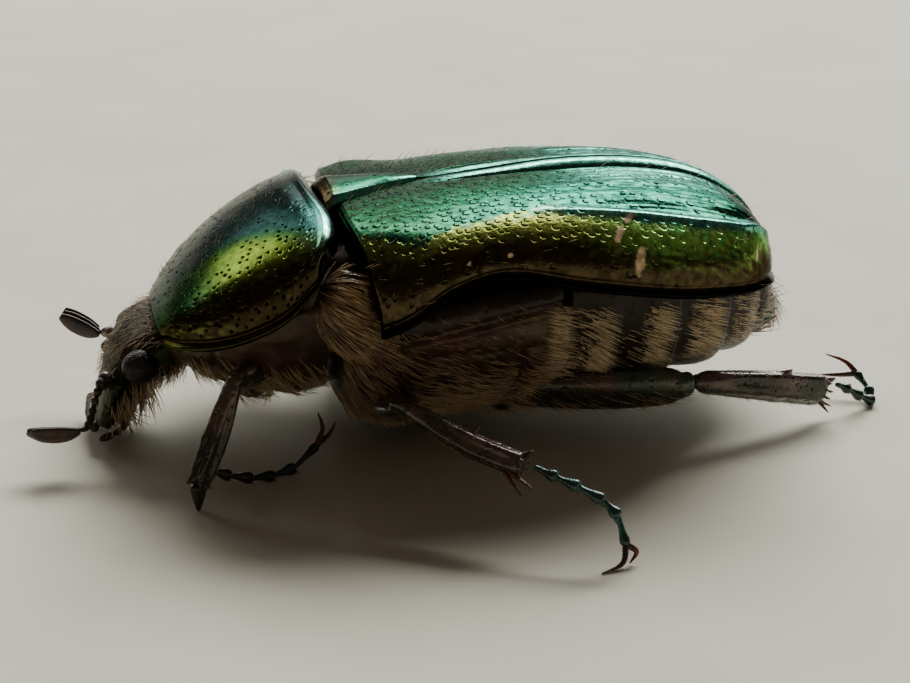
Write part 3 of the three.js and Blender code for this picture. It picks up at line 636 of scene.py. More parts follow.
lamps = {  # place and size in metres, power in watts; all aim at the middle of the floor
    "window": {"at": (0.25, 0.55, 0.52), "size": (0.72, 0.26), "power": 13.4, "colour": (1.0, 0.99, 0.93)},
    "horizon": {"at": (0.32, 0.69, 0.27), "size": (0.76, 0.22), "power": 2.6, "colour": (0.97, 1.0, 0.95)},
    "sideWindow": {"at": (-0.31, 0.6, 0.3), "size": (0.4, 0.26), "power": 0.95, "colour": (1.0, 1.0, 0.95)},
}
for name, look in lamps.items():
    data = bpy.data.lights.new(name, "AREA")
    data.shape = "RECTANGLE"
    data.size, data.size_y = look["size"]
    data.energy = look["power"]
    data.color = look["colour"]
    lamp = newObject(name, data)
    lamp.location = look["at"]
    lamp.rotation_euler = (-Vector(look["at"])).to_track_quat("-Z", "Y").to_euler()
skyLook = {"colour": (1.0, 0.8, 0.64), "strength": 0.09}
world = bpy.data.worlds.new("studio")
scene.world = world
world.use_nodes = True
sky = world.node_tree.nodes["Background"].inputs
sky["Color"].default_value = (*skyLook["colour"], 1)
sky["Strength"].default_value = skyLook["strength"]
print("camera, floor and lamps set")

# wing cases
wing = {
    "suture": [[-2.5, 1.32, 6.22], [-1.3, 0.75, 6.38], [0.05, 0.125, 6.46], [1.6, 0.125, 6.6], [3.4, 0.125, 6.68],
               [5.4, 0.125, 6.64], [7.2, 0.125, 6.32], [8.5, 0.125, 5.62], [9.25, 0.125, 4.7], [9.5, 0.125, 3.7]],
    "margin": [[-1.95, 4.82, 3.6], [-1.2, 4.98, 3.95], [-0.1, 4.84, 4.6], [1.3, 4.66, 4.86], [3.3, 4.72, 4.48],
               [5.6, 4.64, 4.1], [7.5, 4.1, 3.88], [8.65, 3.0, 3.66], [9.2, 1.8, 3.52], [9.5, 0.65, 3.42]],
    "roundness": 0.56, "lean": 0.035, "closed": 0.11, "thick": 0.5, "grid": (401, 197),
    "bumps": ((-1.5, 3.7, 0.95, 0.16), (8.1, 2.55, 0.8, 0.16)),  # shoulder and tip: x, y, reach, rise
    "ribHigh": 0.085, "secondRib": 0.03, "sutureHigh": 0.03, "groove": 0.07, "streak": 0.02, "rimHigh": 0.075,
    "parts": [0, 0.12, 0.25, 0.4, 0.5, 0.6, 0.7, 0.8, 1],  # along the wing case, for tealEnd and brownFrom
    "tealEnd": [0.45, 0.6, 0.58, 0.5, 0.57, 0.64, 0.68, 0.66, 0.6],
    "brownFrom": [0.62, 0.7, 0.72, 0.76, 0.83, 0.84, 0.84, 0.8, 0.74],
    "ribFrom": ([0, 0.4, 0.5, 0.6, 0.7, 0.8, 1], [0.5, 0.5, 0.555, 0.61, 0.645, 0.63, 0.6]),
    # flecks: place, half sizes and tilt, in shares of the wing case
    "flecks": ((0.487, 0.72, 0.0045, 0.075, -0.007), (0.508, 0.87, 0.006, 0.075, -0.004),
               (0.725, 0.84, 0.0045, 0.06, -0.006), (0.505, 0.6, 0.004, 0.03, -0.004),
               (0.33, 0.88, 0.005, 0.018, 0.0), (0.25, 0.87, 0.005, 0.018, 0.0)),
    # the teal band, the dark green by the suture, the gold band and the dark brown flank are partly the case's own
    # metallic colour and partly painted reflections
    "teal": (0.018, 0.1, 0.072), "base": (0.014, 0.052, 0.026), "deep": (0.006, 0.022, 0.011),
    # the bright colour laid on the ribs is a painted highlight
    "ribHighlight": (0.12, 0.42, 0.34), "green": (0.12, 0.8, 0.2), "gold": (0.13, 0.155, 0.035),
    "leaf": (0.3, 0.6, 0.12), "olive": (0.07, 0.062, 0.022), "brown": (0.05, 0.036, 0.017),
    "edge": (0.006, 0.006, 0.005), "fleck": (0.7, 0.5, 0.3),
}
sutureLine, marginLine = lineThrough(wing["suture"]), lineThrough(wing["margin"])


def wingPoints(side, along, across):
    suture, margin = sutureLine(along), marginLine(along)
    angle = across * math.pi / 2
    x = mix(suture[..., 0], margin[..., 0], across ** 2)
    y = suture[..., 1] - wing["closed"] + (margin[..., 1] - suture[..., 1] + wing["closed"]) * np.sin(angle)
    z = margin[..., 2] + (suture[..., 2] - margin[..., 2]) * np.maximum(np.cos(angle), 0) ** wing["roundness"]
    for cx, cy, reach, rise in wing["bumps"]:
        lift = rise * bell(np.hypot(x - cx, y - cy), reach)
        z, y = z + lift, y + lift * np.sin(angle)
    z = z + 0.13 * smooth(1.2, 4, x) * (bell(y, 0.45) - 0.35 * bell(y - 1.1, 0.8))
    return np.stack([x, side * y, z - wing["lean"] * side * y], -1)


def makeWing(side, name, node):
    rows, cols = wing["grid"]
    u = np.linspace(0, 1, rows)[:, None]
    dense = np.linspace(0, 1, 500)[None] + 0 * u
    v = evenShares(wingPoints(side, u, dense), dense[0], cols)
    p = wingPoints(side, u + 0 * v, v)
    run, down = lengths(p, 0)[:, cols // 2][:, None] + 0 * v, lengths(p, 1)
    left = down[:, -1:] - down  # distance to the free margin
    n = gridNormals(p)
    n *= np.sign((n * (p - np.array([0, 0, 2]))).sum(-1, keepdims=True))
    flat = np.stack([run, down, 0 * v], -1)

    # relief: the discal rib and the slope beside it, a second rib, the suture rib, streaks and the rim
    fromRib = v - np.interp(u, *wing["ribFrom"])
    rib = bell(fromRib, 0.032) * span(0.34, 0.5, 0.79, 0.86, u)
    slope = bell(fromRib + 0.075, 0.055) * span(0.4, 0.55, 0.8, 0.88, u)
    sutureRib = span(0.2, 0.34, 0.9, 0.97, u)
    streaks = span(0.36, 0.55, 0.86, 0.95, u) * smooth(0.5, 0.8, down) * (1 - smooth(-0.06, 0.0, fromRib))
    wrinkle = smooth(0.78, 0.92, u)
    rise = wing["ribHigh"] * rib - 0.05 * slope
    rise = rise + wing["secondRib"] * bell(v - 0.27, 0.03) * span(0.35, 0.55, 0.75, 0.85, u)
    rise += sutureRib * (wing["sutureHigh"] * bell(down - 0.3, 0.14) - wing["groove"] * bell(down - 0.58, 0.07))
    rise += wing["streak"] * streaks * grain(flat, (0.9, 0.085, 1), 5)
    rise += 0.02 * wrinkle * grain(flat, (0.1, 0.5, 1), 6)
    rise += 0.012 * grain(flat, (0.5, 0.35, 1), 8) * smooth(0.6, 0.85, v)
    rise += wing["rimHigh"] * bell(left - 0.1, 0.085) - 0.045 * bell(left - 0.29, 0.07)
    rise -= 0.09 * bell(down, 0.05) + 0.12 * bell(run, 0.09) + 0.05 * bell(left, 0.05)
    outer, inner = p + n * rise[..., None], p - n * wing["thick"]
    for skin, gap in ((inner, 0.015), (outer, 0.008)):  # keeps clear of the other wing case
        skin[..., 1] = side * np.maximum(side * skin[..., 1], gap)

    # colour: teal above, gold and leaf green on the flank, brown below, painted highlights on the ribs, and cream
    # flecks
    wobble = grain(flat, 1.3, 3)
    rough = 0.025 * wobble + 0.045 * grain(flat, (0.3, 0.11, 1), 9) + 0.03 * grain(flat, 0.09, 19)
    pastTeal = v - np.interp(u, wing["parts"], wing["tealEnd"])
    pastBrown = v - np.interp(u, wing["parts"], wing["brownFrom"])
    middle = smooth(0.45, 0.55, u)
    fleck = 0 * v
    for cu, cv, su, sv, tilt in wing["flecks"]:
        du = (u - cu - tilt * (v - cv) / sv + 0.003 * wobble) / su
        fleck = np.maximum(fleck, smooth(1.15, 0.75, np.hypot(du, (v - cv) / sv) + 0.25 * grain(flat, 0.12, 14)))
    # deep: darker green by the suture towards the front, partly own colour and partly a painted dark reflection
    deep = (1 - smooth(0.06, 0.34, v - 0.12 * smooth(0.3, 0.6, u)) * 0.9) * (1 - smooth(0.3, 0.55, u))
    green = smooth(0.5, 0.62, u) * smooth(0.0, 0.6, grain(flat, 0.22, 12)) * smooth(-0.02, 0.06, pastTeal)
    # glow: a broad painted highlight beside the discal rib
    glow = bell(fromRib - 0.01, 0.05) * span(0.42, 0.56, 0.8, 0.88, u)
    ridge = sutureRib * np.maximum(bell(down - 0.3, 0.2), 0.6 * bell(down - 1.1, 0.6) * middle)
    lower = painted(wing, wing["gold"] + 0 * p, ("leaf", smooth(0.42, 0.56, u)))
    colour = painted(
        wing, "base",
        ("teal", smooth(0.1, 0.5, u) * smooth(0.1, 0.45, v + 0.5 * smooth(0.35, 0.6, u))),
        ("deep", deep),
        ("base", 0.6 * smooth(0.5, 0.75, u) * smooth(0.3, 0.5, v)),
        ("deep", 0.5 * streaks * smooth(-0.2, 0.5, grain(flat, (0.9, 0.07, 1), 5))),
        (lower, smooth(-0.03, 0.05, pastTeal + rough)),
        ("green", 0.7 * green),
        ("olive", 0.8 * smooth(0.0, 0.09, pastBrown + 0.06 + rough)),
        ("brown", smooth(0.0, 0.1, pastBrown + rough)),
        ("edge", 1 - smooth(0.16, 0.3, left)),
        # painted highlights: a broad band beside the discal rib, then on the crests of the ribs
        ("ribHighlight", 0.75 * glow * smooth(-0.6, 0.3, grain(flat, (0.8, 0.1, 1), 21))),
        ("ribHighlight", np.maximum(rib, ridge)),
        # painted shade in the groove beside the suture rib
        ("deep", 0.7 * sutureRib * bell(down - 0.6, 0.07)),
        ("fleck", fleck))

    # pits: fewer between the ribs, on the brown flank and near the edges, none on ribs and flecks
    mask = 1 - 0.55 * span(0.35, 0.55, 0.82, 0.92, u) * (1 - smooth(0.0, 0.05, fromRib))
    mask = mask * smooth(0.3, 0.45, left) * smooth(0.16, 0.3, run)
    mask = mask * (1 - sutureRib * (1 - smooth(0.5, 0.7, down)))
    mask = mask * (1 - 0.9 * rib) * (1 - fleck) * smooth(0.1, 0.2, down)
    mask = mask * (1 - 0.72 * smooth(0.0, 0.12, pastBrown + 0.05))
    mask = mask * (1 - 0.5 * smooth(0.5, 0.6, u) * smooth(-0.02, 0.06, pastTeal))
    chart = np.stack([run + 20 * (1 + side), down, 0 * v], -1)
    shellPiece(name, node, "elytra", outer, inner, wing["edge"], wingFinish, wingPits, {
        "matt": fleck, "paint": colour, "chart": chart, "pitMask": mask * 1.02,
        "pitMoon": 1 - 0.3 * wrinkle + 0 * v})
    return p, v


wings = {-1: makeWing(-1, "elytronLeft", "elytron_left"), 1: makeWing(1, "elytronRight", "elytron_right")}
print("wing cases made")

# pronotum
shield = {
    "midline": [[-7.28, 0, 3.42], [-6.6, 0, 4.28], [-5.7, 0, 5.16], [-4.75, 0, 5.82], [-3.85, 0, 6.3],
                [-3.0, 0, 6.5]],
    "margin": [[-7.05, 2.3, 2.9], [-6.65, 3.15, 2.98], [-5.85, 3.9, 3.16], [-5.0, 4.35, 3.47], [-4.15, 4.6, 3.97],
               [-3.36, 4.62, 4.78]],
    "roundness": (0.6, 0.4), "lean": 0.09, "thick": 0.5, "grid": (161, 433), "lobe": 0.18, "rimHigh": 0.075,
    "parts": [0, 0.2, 0.4, 0.6, 0.8, 1],  # along the pronotum, for limeTop and limeEnd
    "limeTop": [0.1, 0.12, 0.2, 0.29, 0.44, 0.6], "limeEnd": [0.6, 0.7, 0.7, 0.7, 0.75, 0.8],
    "slate": (0.026, 0.06, 0.055), "green": (0.03, 0.085, 0.03), "lime": (0.15, 0.22, 0.035),
    # the bright turquoise on the hind angle is a painted highlight
    "brown": (0.034, 0.024, 0.01), "hindHighlight": (0.25, 0.8, 0.7), "rim": (0.05, 0.062, 0.014),
    "crease": (0.09, 0.12, 0.03), "hem": (0.01, 0.012, 0.012), "back": (0.012, 0.01, 0.01),
}
shieldMiddle, shieldMargin = lineThrough(shield["midline"]), lineThrough(shield["margin"])


def shieldPoints(along, across):
    middle, margin = shieldMiddle(along), shieldMargin(along)
    share = np.abs(across)
    angle = np.minimum(share, 1) * math.pi / 2
    sideways = np.sign(across) * margin[..., 1] * np.sin(angle)
    x = mix(middle[..., 0], margin[..., 0], share ** 2)
    x = x + shield["lobe"] * smooth(0.55, 1, along) * bell(share - 0.5, 0.26)
    power = mix(*shield["roundness"], along)
    z = margin[..., 2] + (middle[..., 2] - margin[..., 2]) * np.maximum(np.cos(angle), 0) ** power
    return np.stack([x, sideways, z - shield["lean"] * sideways], -1)


def makeShield():
    rows, cols = shield["grid"]
    u = np.linspace(0, 1, rows)[:, None]
    dense = np.linspace(-1, 1, 1001)[None] + 0 * u
    v = evenShares(shieldPoints(u, dense), dense[0], cols)
    p = shieldPoints(u + 0 * v, v)
    down, run, share = lengths(p, 1), lengths(p, 0), np.abs(v)
    left, back = np.minimum(down, down[:, -1:] - down), run[-1:] - run  # distances to the side and rear margins
    n = gridNormals(p)
    n *= np.sign((n * (p - np.array([-5, 0, 1.5]))).sum(-1, keepdims=True))
    flat = np.stack([run, down, 0 * v], -1)
    creases = smooth(0.62, 0.8, share) * (1 - smooth(0.3, 0.6, u)) * smooth(0.25, 0.4, left)
    rise = shield["rimHigh"] * bell(left - 0.1, 0.07) - 0.05 * bell(left - 0.26, 0.07) - 0.05 * bell(left, 0.04)
    rise += -0.1 * bell(back, 0.07) + 0.03 * bell(back - 0.2, 0.09) - 0.05 * bell(run, 0.05)
    rise += 0.008 * creases * grain(flat, (0.28, 0.09, 1), 4)
    rise += 0.006 * grain(flat, 0.5, 2)
    rough = 0.02 * grain(flat, 0.8, 3) + 0.012 * grain(flat, 0.15, 5)
    fromTop = share - np.interp(u, shield["parts"], shield["limeTop"]) + rough
    fromEnd = share - np.interp(u, shield["parts"], shield["limeEnd"]) + rough
    spots = grain(flat, 0.13, 15)
    # lime: the patch is partly the shield's own lime-gold colour and partly a painted reflection
    lime = smooth(0.03, 0.2, fromTop) * smooth(0.25, 0.55, u)
    colour = painted(
        shield, "slate",
        ("green", smooth(-0.03, 0.1, fromTop)),
        ("lime", lime * (1 - 0.75 * smooth(0.72, 0.9, u) * smooth(-0.25, 0.15, spots))),
        ("brown", smooth(-0.1, 0.09, fromEnd + 0.09 * spots)),
        ("lime", 0.8 * smooth(0.6, 0.8, u) * smooth(0.35, 0.6, spots) * bell(share - 0.8, 0.12)),
        # painted highlight on the hind angle
        ("hindHighlight", 0.9 * bell(u - 1.0, 0.09) * bell(share - 0.52, 0.2)),
        ("crease", 0.7 * creases * smooth(0.1, 0.5, grain(flat, (0.2, 0.08, 1), 4))),
        ("rim", bell(left - 0.1, 0.06)),
        ("hem", 1 - smooth(0.04, 0.1, back)))
    mask = mix(0.25, 0.95, smooth(0.25, 0.6, share)) * smooth(0.32, 0.42, left)
    mask = mask * smooth(0.12, 0.25, run) * smooth(0.3, 0.45, back)
    shellPiece("pronotumShield", "pronotum", "pronotum", p + n * rise[..., None], p - n * shield["thick"],
               shield["back"], shieldFinish, shieldPits,
               {"paint": colour, "chart": flat, "pitMask": mask, "pitMoon": 0 * v})
    return p, v


shieldGrid = makeShield()
print("pronotum made")

# scutellum
plate = {"front": -2.72, "tip": -0.14, "halfBase": 1.24, "top": 6.34, "tipTop": 6.5, "thick": 0.45, "crown": 0.16,
         # edge and pale colour the painted highlights along the sides
         "grid": (97, 65), "lean": 0.03, "deep": (0.012, 0.05, 0.03), "edge": (0.09, 0.34, 0.25),
         "pale": (0.02, 0.085, 0.055), "base": (0.12, 0.06, 0.03)}


def makeScutellum():
    rows, cols = plate["grid"]
    t, s = np.linspace(0, 1, rows)[:, None], np.linspace(-1, 1, cols)[None]
    half = plate["halfBase"] * (1 - t) ** 0.88 + 0.035
    x, y = mix(plate["front"], plate["tip"], t) + 0 * s, s * half
    level = mix(plate["top"], plate["tipTop"], t)
    z = level + plate["crown"] * (1 - np.abs(s) ** 2.6) * np.minimum(1, half / 0.5) - plate["lean"] * y
    z = z - 0.16 * bell(t, 0.06) - 0.09 * smooth(0.86, 1.0, np.abs(s)) * np.minimum(1, half / 0.3)
    outer = np.stack([x, y, z], -1)
    inner = np.stack([x, y * 0.96, level - plate["thick"] + 0 * x], -1)
    # painted highlights: lighter towards the sides and bright along the edges
    colour = painted(plate, "deep", ("pale", smooth(0.3, 0.9, np.abs(s) + 0 * t)),
                     ("edge", 1 - smooth(0.06, 0.2, (1 - np.abs(s)) * half)),
                     ("base", 0.7 * bell(t + 0 * s, 0.1)))
    shellPiece("scutellumPlate", "scutellum", "scutellum", outer, inner, 0.0, shieldFinish, shieldPits,
               {"paint": colour, "chart": outer, "pitMask": 0.5 * bell(t + 0 * s, 0.3), "pitMoon": 0 * x})


makeScutellum()
print("scutellum made")

# body below the wing cases; pits give spacing, radius, depth and a shift of their chart
under = {"brown": (0.042, 0.024, 0.014), "plum": (0.07, 0.032, 0.026), "dark": (0.012, 0.009, 0.007),
         "pink": (0.16, 0.07, 0.05), "bronze": (0.1, 0.07, 0.03), "green": (0.02, 0.07, 0.04),
         "olive": (0.02, 0.024, 0.012), "cream": (0.5, 0.4, 0.26), "shade": (0.0147, 0.0084, 0.0049)}
chest = {"pits": (0.26, 0.07, 0.02, 2.0), "ridgeAt": 3.55, "ridgeSlope": 0.13, "hipAt": 1.28}
fore = {"pits": (0.24, 0.06, 0.018, 4.0), "seam": 5.9}
belly = {"pits": (0.22, 0.06, 0.02, 6.0)}
shoulder = {"path": ((-2.6, 3.9, 5.35), (-2.8, 4.15, 4.45), (-2.3, 4.4, 3.5)), "thick": 0.95,
            "wide": (0.8, 1.3, 1.15), "pits": (0.2, 0.05, 0.015, 3.0)}
tail = {"shape": ((8.98, 0, 2.86), (0.6, 2.25, 1.02), -0.12), "pits": (0.18, 0.05, 0.02, 1.0)}


def bodyPiece(name, node, slot, p, rise, colour, mask, pits, finish=underFinish):
    points, faces = closed(p + outwardNormals(p) * rise[..., None])
    made = joinParts(name, [(points, faces)])
    store(made, {"paint": np.vstack([colour.reshape(-1, 3), colour[0].mean(0), colour[-1].mean(0)])})
    mask = padded(mask + 0 * p[..., 0], len(points))
    finishPiece(pitsOver(made, finish, mask, *pits), finish, slot, node)


def plums(p, size, seed, high=0.5):  # brown to plum, in soft patches
    return smooth(-0.4, high, grain(p, size, seed))


def chestRelief(p):  # plates and seams, and the share of the long side plate
    x, y, z = p[..., 0], np.abs(p[..., 1]), p[..., 2]
    overFlank = z - (3.35 - 0.06 * (x + 1.5))  # above the lower edge of the long side plate
    strip = smooth(-0.1, 0.06, overFlank) * smooth(-1.55, -1.4, x)
    rise = 0.1 * strip - 0.07 * bell(overFlank + 0.02, 0.07) * smooth(-1.6, -1.4, x)
    rise -= 0.06 * bell(x + 1.5, 0.06) * smooth(2.2, 2.6, z)
    fromHip = x - 0.25 * (z - 1)
    hipPlate = smooth(1.25, 1.4, fromHip) * (1 - smooth(-0.1, 0.0, overFlank))
    rise += 0.09 * hipPlate - 0.06 * bell(fromHip - chest["hipAt"], 0.06) * (1 - strip)
    ridge = z - chest["ridgeAt"] - chest["ridgeSlope"] * (x + 1.4)
    rise += strip * (0.07 * bell(ridge, 0.06) - 0.08 * bell(ridge - 0.14, 0.08))
    rise = rise - 0.05 * bell(y, 0.06) * (z < 2) - 0.05 * bell(x - 2.62, 0.05)
    return rise, strip, ridge


def makeChest():
    p = section(pterothorax, 181, 280)
    rise, strip, ridge = chestRelief(p)
    rise = rise + 0.02 * grain(p, (0.5, 0.5, 0.16), 3) + 0.01 * grain(p, 0.2, 4)
    colour = painted(
        under, "brown", ("plum", plums(p, 1.1, 7)),
        ("bronze", 0.4 * strip * smooth(0.0, 0.5, grain(p, (0.9, 0.9, 0.25), 9))),
        ("dark", 0.8 * strip * smooth(0.05, 0.3, ridge)),
        # painted shade: darker in the sunken seams and towards the bottom
        ("dark", np.maximum(smooth(0.03, 0.07, -rise), 1 - smooth(0.6, 1.4, p[..., 2]))))
    mask = 0.75 * smooth(0.0, 0.4, grain(p, 0.9, 2) + 0.5)
    bodyPiece("chest", "pterothorax", "underside", p, rise, colour, mask, chest["pits"])


def makeFore():
    p = section(prosternum, 121, 240)
    z = p[..., 2]
    rise = 0.02 * grain(p, (0.4, 0.4, 0.15), 5) - 0.05 * bell(p[..., 0] + fore["seam"], 0.08) * (z < 3.4)
    # darker towards the bottom: painted shade
    colour = painted(under, "brown", ("plum", plums(p, 0.9, 8)), ("dark", 1 - smooth(1.8, 2.7, z)))
    bodyPiece("foreBody", "prosternum", "underside", p, rise, colour, 0.7, fore["pits"])


def makeBelly():
    p = section(abdomen, 281, 260)
    share = tileShare(p[..., 0])
    rim = smooth(0.78, 0.86, share)
    rise = abdomen["step"] * 1.35 * span(0.0, 0.75, 0.93, 1.0, share) + 0.012 * grain(p, (0.3, 0.6, 0.3), 6)
    colour = painted(
        under, "shade", ("dark", 0.8 * rim), ("plum", 0.25 * smooth(0.0, 0.6, grain(p, 0.8, 3)) * (1 - rim)),
        # painted shade: darker at the front of each plate and towards the bottom
        ("dark", np.maximum(1 - smooth(0.0, 0.08, share), 1 - smooth(1.2, 2.0, p[..., 2]))))
    bodyPiece("belly", "abdomen", "abdomen", p, rise, colour, 0.8 * (1 - rim), belly["pits"])


def shoulderGrid(side, sides=72, steps=80):
    path = [(x, side * y, z) for x, y, z in shoulder["path"]]
    stations = [(at, wide, shoulder["thick"]) for at, wide in zip(path, shoulder["wide"])]
    return tube(stations, sides=sides, steps=steps, facing=(0, side, 0), blunt=0.35)


def makeShoulder(side, word):
    p = shoulderGrid(side)
    colour = painted(under, "pink", ("plum", plums(p, (0.6, 0.6, 0.25), 2, 0.3)),
                     ("brown", smooth(4.5, 5.2, p[..., 2])))
    bodyPiece("shoulderPlate" + word, "mesepimeron_" + word.lower(), "underside", p,
              0.02 * grain(p, (0.4, 0.4, 0.12), 5), colour, 0.7, shoulder["pits"])


def makeTail():
    p = ball(*tail["shape"], 160, 90)
    fleck = smooth(0.25, 0.12, np.hypot(np.abs(p[..., 1]) - 1.0, p[..., 2] - 2.9))
    colour = painted(under, "green", ("olive", smooth(-0.3, 0.5, grain(p, 0.6, 5))), ("cream", 0.7 * fleck))
    rise = 0.012 * grain(p, (0.5, 0.18, 0.09), 4)
    bodyPiece("tailPlate", "pygidium", "abdomen", p, rise, colour, 0.9, tail["pits"], headFinish)


makeChest()
makeFore()
makeBelly()
for side, word in ((-1, "Left"), (1, "Right")):
    makeShoulder(side, word)
makeTail()
print("body made")

# head, eyes, antennae and palps
face = {
    "spine": [[-6.5, 0, 2.85], [-7.25, 0, 2.5], [-7.85, 0, 1.95], [-8.32, 0, 1.25], [-8.66, 0, 0.58]],
    "width": [1.7, 1.75, 1.55, 1.3, 1.24], "depth": [0.7, 0.76, 0.62, 0.4, 0.24], "voxel": 0.032,
    "eye": (-7.62, 1.62, 2.36), "eyeRadii": (0.5, 0.42, 0.46), "eyePits": (0.035, 0.018, 0.002),
    "chin": ((-7.9, 0, 1.16), (0.62, 0.8, 0.42), -0.82), "lipPlaces": (-1.16, -0.6, 0, 0.6, 1.16),
    "pits": (0.17, 0.055, 0.022, 3.0), "mandible": (-8.22, 0.42, 0.62), "corner": (-8.36, 1.34, 1.86),
    "eyeBar": [((-8.02, 1.42, 1.98), 0.2), ((-7.92, 1.8, 2.2), 0.16), ((-7.6, 2.0, 2.36), 0.08)],
    "lipSide": [((-8.5, 1.28, 1.0), 0.16), ((-8.36, 1.42, 1.5), 0.2), ((-8.1, 1.5, 1.95), 0.22)],
    "green": (0.016, 0.024, 0.009), "bronze": (0.035, 0.022, 0.009), "lip": (0.05, 0.044, 0.034),
    "dark": (0.008, 0.006, 0.005), "eyeDark": (0.01, 0.005, 0.004), "eyeLitTop": (0.014, 0.009, 0.008),
}


def skullGrid(rings=64, sides=96, more=None):
    t = np.linspace(0, 1, rings)[:, None]
    angle = np.linspace(0, fullTurn, sides, endpoint=False)[None] + 0 * t
    line = lineThrough(face["spine"])
    along = unit(line(t + 0.01) - line(t - 0.01))
    over = np.stack([along[..., 2], 0 * along[..., 0], -along[..., 0]], -1)
    over = np.where(over[..., :1] > 0, -over, over)
    c, s = np.cos(angle), np.sin(angle)
    wide = np.sign(c) * np.abs(c) ** mix(0.85, 0.42, t) * valueThrough(face["width"])(t)
    rim = np.where(t > 0.55, 0.08 * bell(np.abs(c) - 1, 0.12) * (s >= 0), 0)
    high = np.sign(s) * np.abs(s) ** 0.7 * valueThrough(face["depth"])(t) + rim + (more(t, c, s) if more else 0)
    return line(t) + np.array([0, 1, 0]) * wide[..., None] + over * high[..., None]


def makeHead():
    def carving(t, c, s):
        ridge = 0.07 * bell(c, 0.16) * (1 - smooth(0.42, 0.6, t)) * smooth(0.1, 0.25, t)
        dish = -0.06 * bell(c, 0.55) * span(0.6, 0.75, 0.92, 1.0, t)
        brow = 0.05 * bell(np.abs(c) - 0.55, 0.18) * bell(t - 0.35, 0.12)
        return (s > 0) * (ridge + dish + brow)

    tip = face["spine"][-1]
    lip = [((tip[0] - 0.3 + 0.06 * abs(y), y, tip[2] - 0.02), 0.3) for y in face["lipPlaces"]]
    parts = [closed(skullGrid(more=carving)), limb(lip, sides=20), closed(ball(*face["chin"], 60, 40))]
    for side in (-1, 1):
        for key, steps in (("eyeBar", 20), ("lipSide", 24)):
            parts.append(limb([((x, side * y, z), wide) for (x, y, z), wide in face[key]], sides=16, steps=steps))
        x, y, z = face["mandible"]
        parts.append(knob((x, side * y, z), (0.26, 0.26, 0.3), 30, 20, -0.4))
        x, y, z = face["corner"]
        parts.append(knob((x, side * y, z), 0.2))
    made = fuse("headCapsule", parts, face["voxel"])
    p, up = perPoint(made), perPoint(made, "normal")
    p = p + up * (0.014 * grain(p, (0.3, 0.3, 0.09), 4))[:, None]
    setPlaces(made, p)
    lip = smooth(1.25, 0.75, p[:, 2]) * smooth(-8.35, -8.6, p[:, 0])
    colour = painted(face, "green", ("bronze", smooth(-0.4, 0.5, grain(p, 0.5, 5))), ("lip", 0.85 * lip),
                     # painted shade: the downward-facing side is darker
                     ("dark", smooth(-0.1, -0.6, up[:, 2]) * 0.8))
    store(made, {"paint": colour})
    mask = 0.95 * smooth(-0.4, 0.1, up[:, 2] - 0.3 * up[:, 0]) * (1 - lip)
    finishPiece(pitsOver(made, headFinish, mask, *face["pits"]), headFinish, "head", "head")


def makeEye(side, word):
    x, y, z = face["eye"]
    made = joinParts("eye" + word, [closed(ball((x, side * y, z), face["eyeRadii"], 0, 120, 80))])
    # the upper part of the eye is painted lighter: painted light
    store(made, {"paint": painted(face, "eyeDark", ("eyeLitTop", smooth(2.3, 2.7, perPoint(made)[:, 2])))})
    finishPiece(pitsOver(made, eyeFinish, 1.0, *face["eyePits"]), eyeFinish, "eye", "eye_" + word.lower())


feelers = {
    "left": {"side": -1,
             "stem": [[-8.5, -1.36, 2.05], [-8.74, -1.68, 1.84], [-8.94, -2.02, 1.38], [-9.06, -2.26, 1.08]],
             "club": [[-9.26, -2.35, 1.05], [-9.9, -2.4, 1.0], [-10.52, -2.45, 1.16]],
             "palp": [[-7.98, -0.72, 0.5], [-8.38, -0.86, 0.24], [-8.8, -0.98, 0.16]]},
    "right": {"side": 1, "stem": [[-8.22, 1.36, 2.2], [-8.36, 1.84, 2.12], [-8.42, 2.3, 1.9]],
              "club": [[-8.56, 2.44, 1.9], [-9.02, 2.6, 2.06], [-9.52, 2.76, 2.4]],
              "palp": [[-8.02, 0.6, 0.5], [-8.48, 0.48, 0.24], [-8.98, 0.3, 0.16]]}}
feelerLook = {
    "beads": ((0.06, 0.19), (0.2, 0.16), (0.36, 0.115), (0.5, 0.11), (0.64, 0.11), (0.78, 0.115), (0.93, 0.12)),
    "leafWide": (0.26, 0.46, 0.47, 0.3), "leafDeep": 0.15, "leafApart": 0.135,
    "leaves": ((-1, 0.94), (0, 1.0), (1, 0.94)), "brown": (0.02, 0.01, 0.008), "red": (0.055, 0.02, 0.013)}


def feelerPiece(made, node, flip, mask, *pits):  # flip shifts the paint towards red
    red = smooth(-0.3, 0.6, grain(perPoint(made), 0.35, 6) + flip)
    store(made, {"paint": painted(feelerLook, "brown", ("red", red))})
    finishPiece(pitsOver(made, antennaFinish, mask, *pits), antennaFinish, "antenna", node)


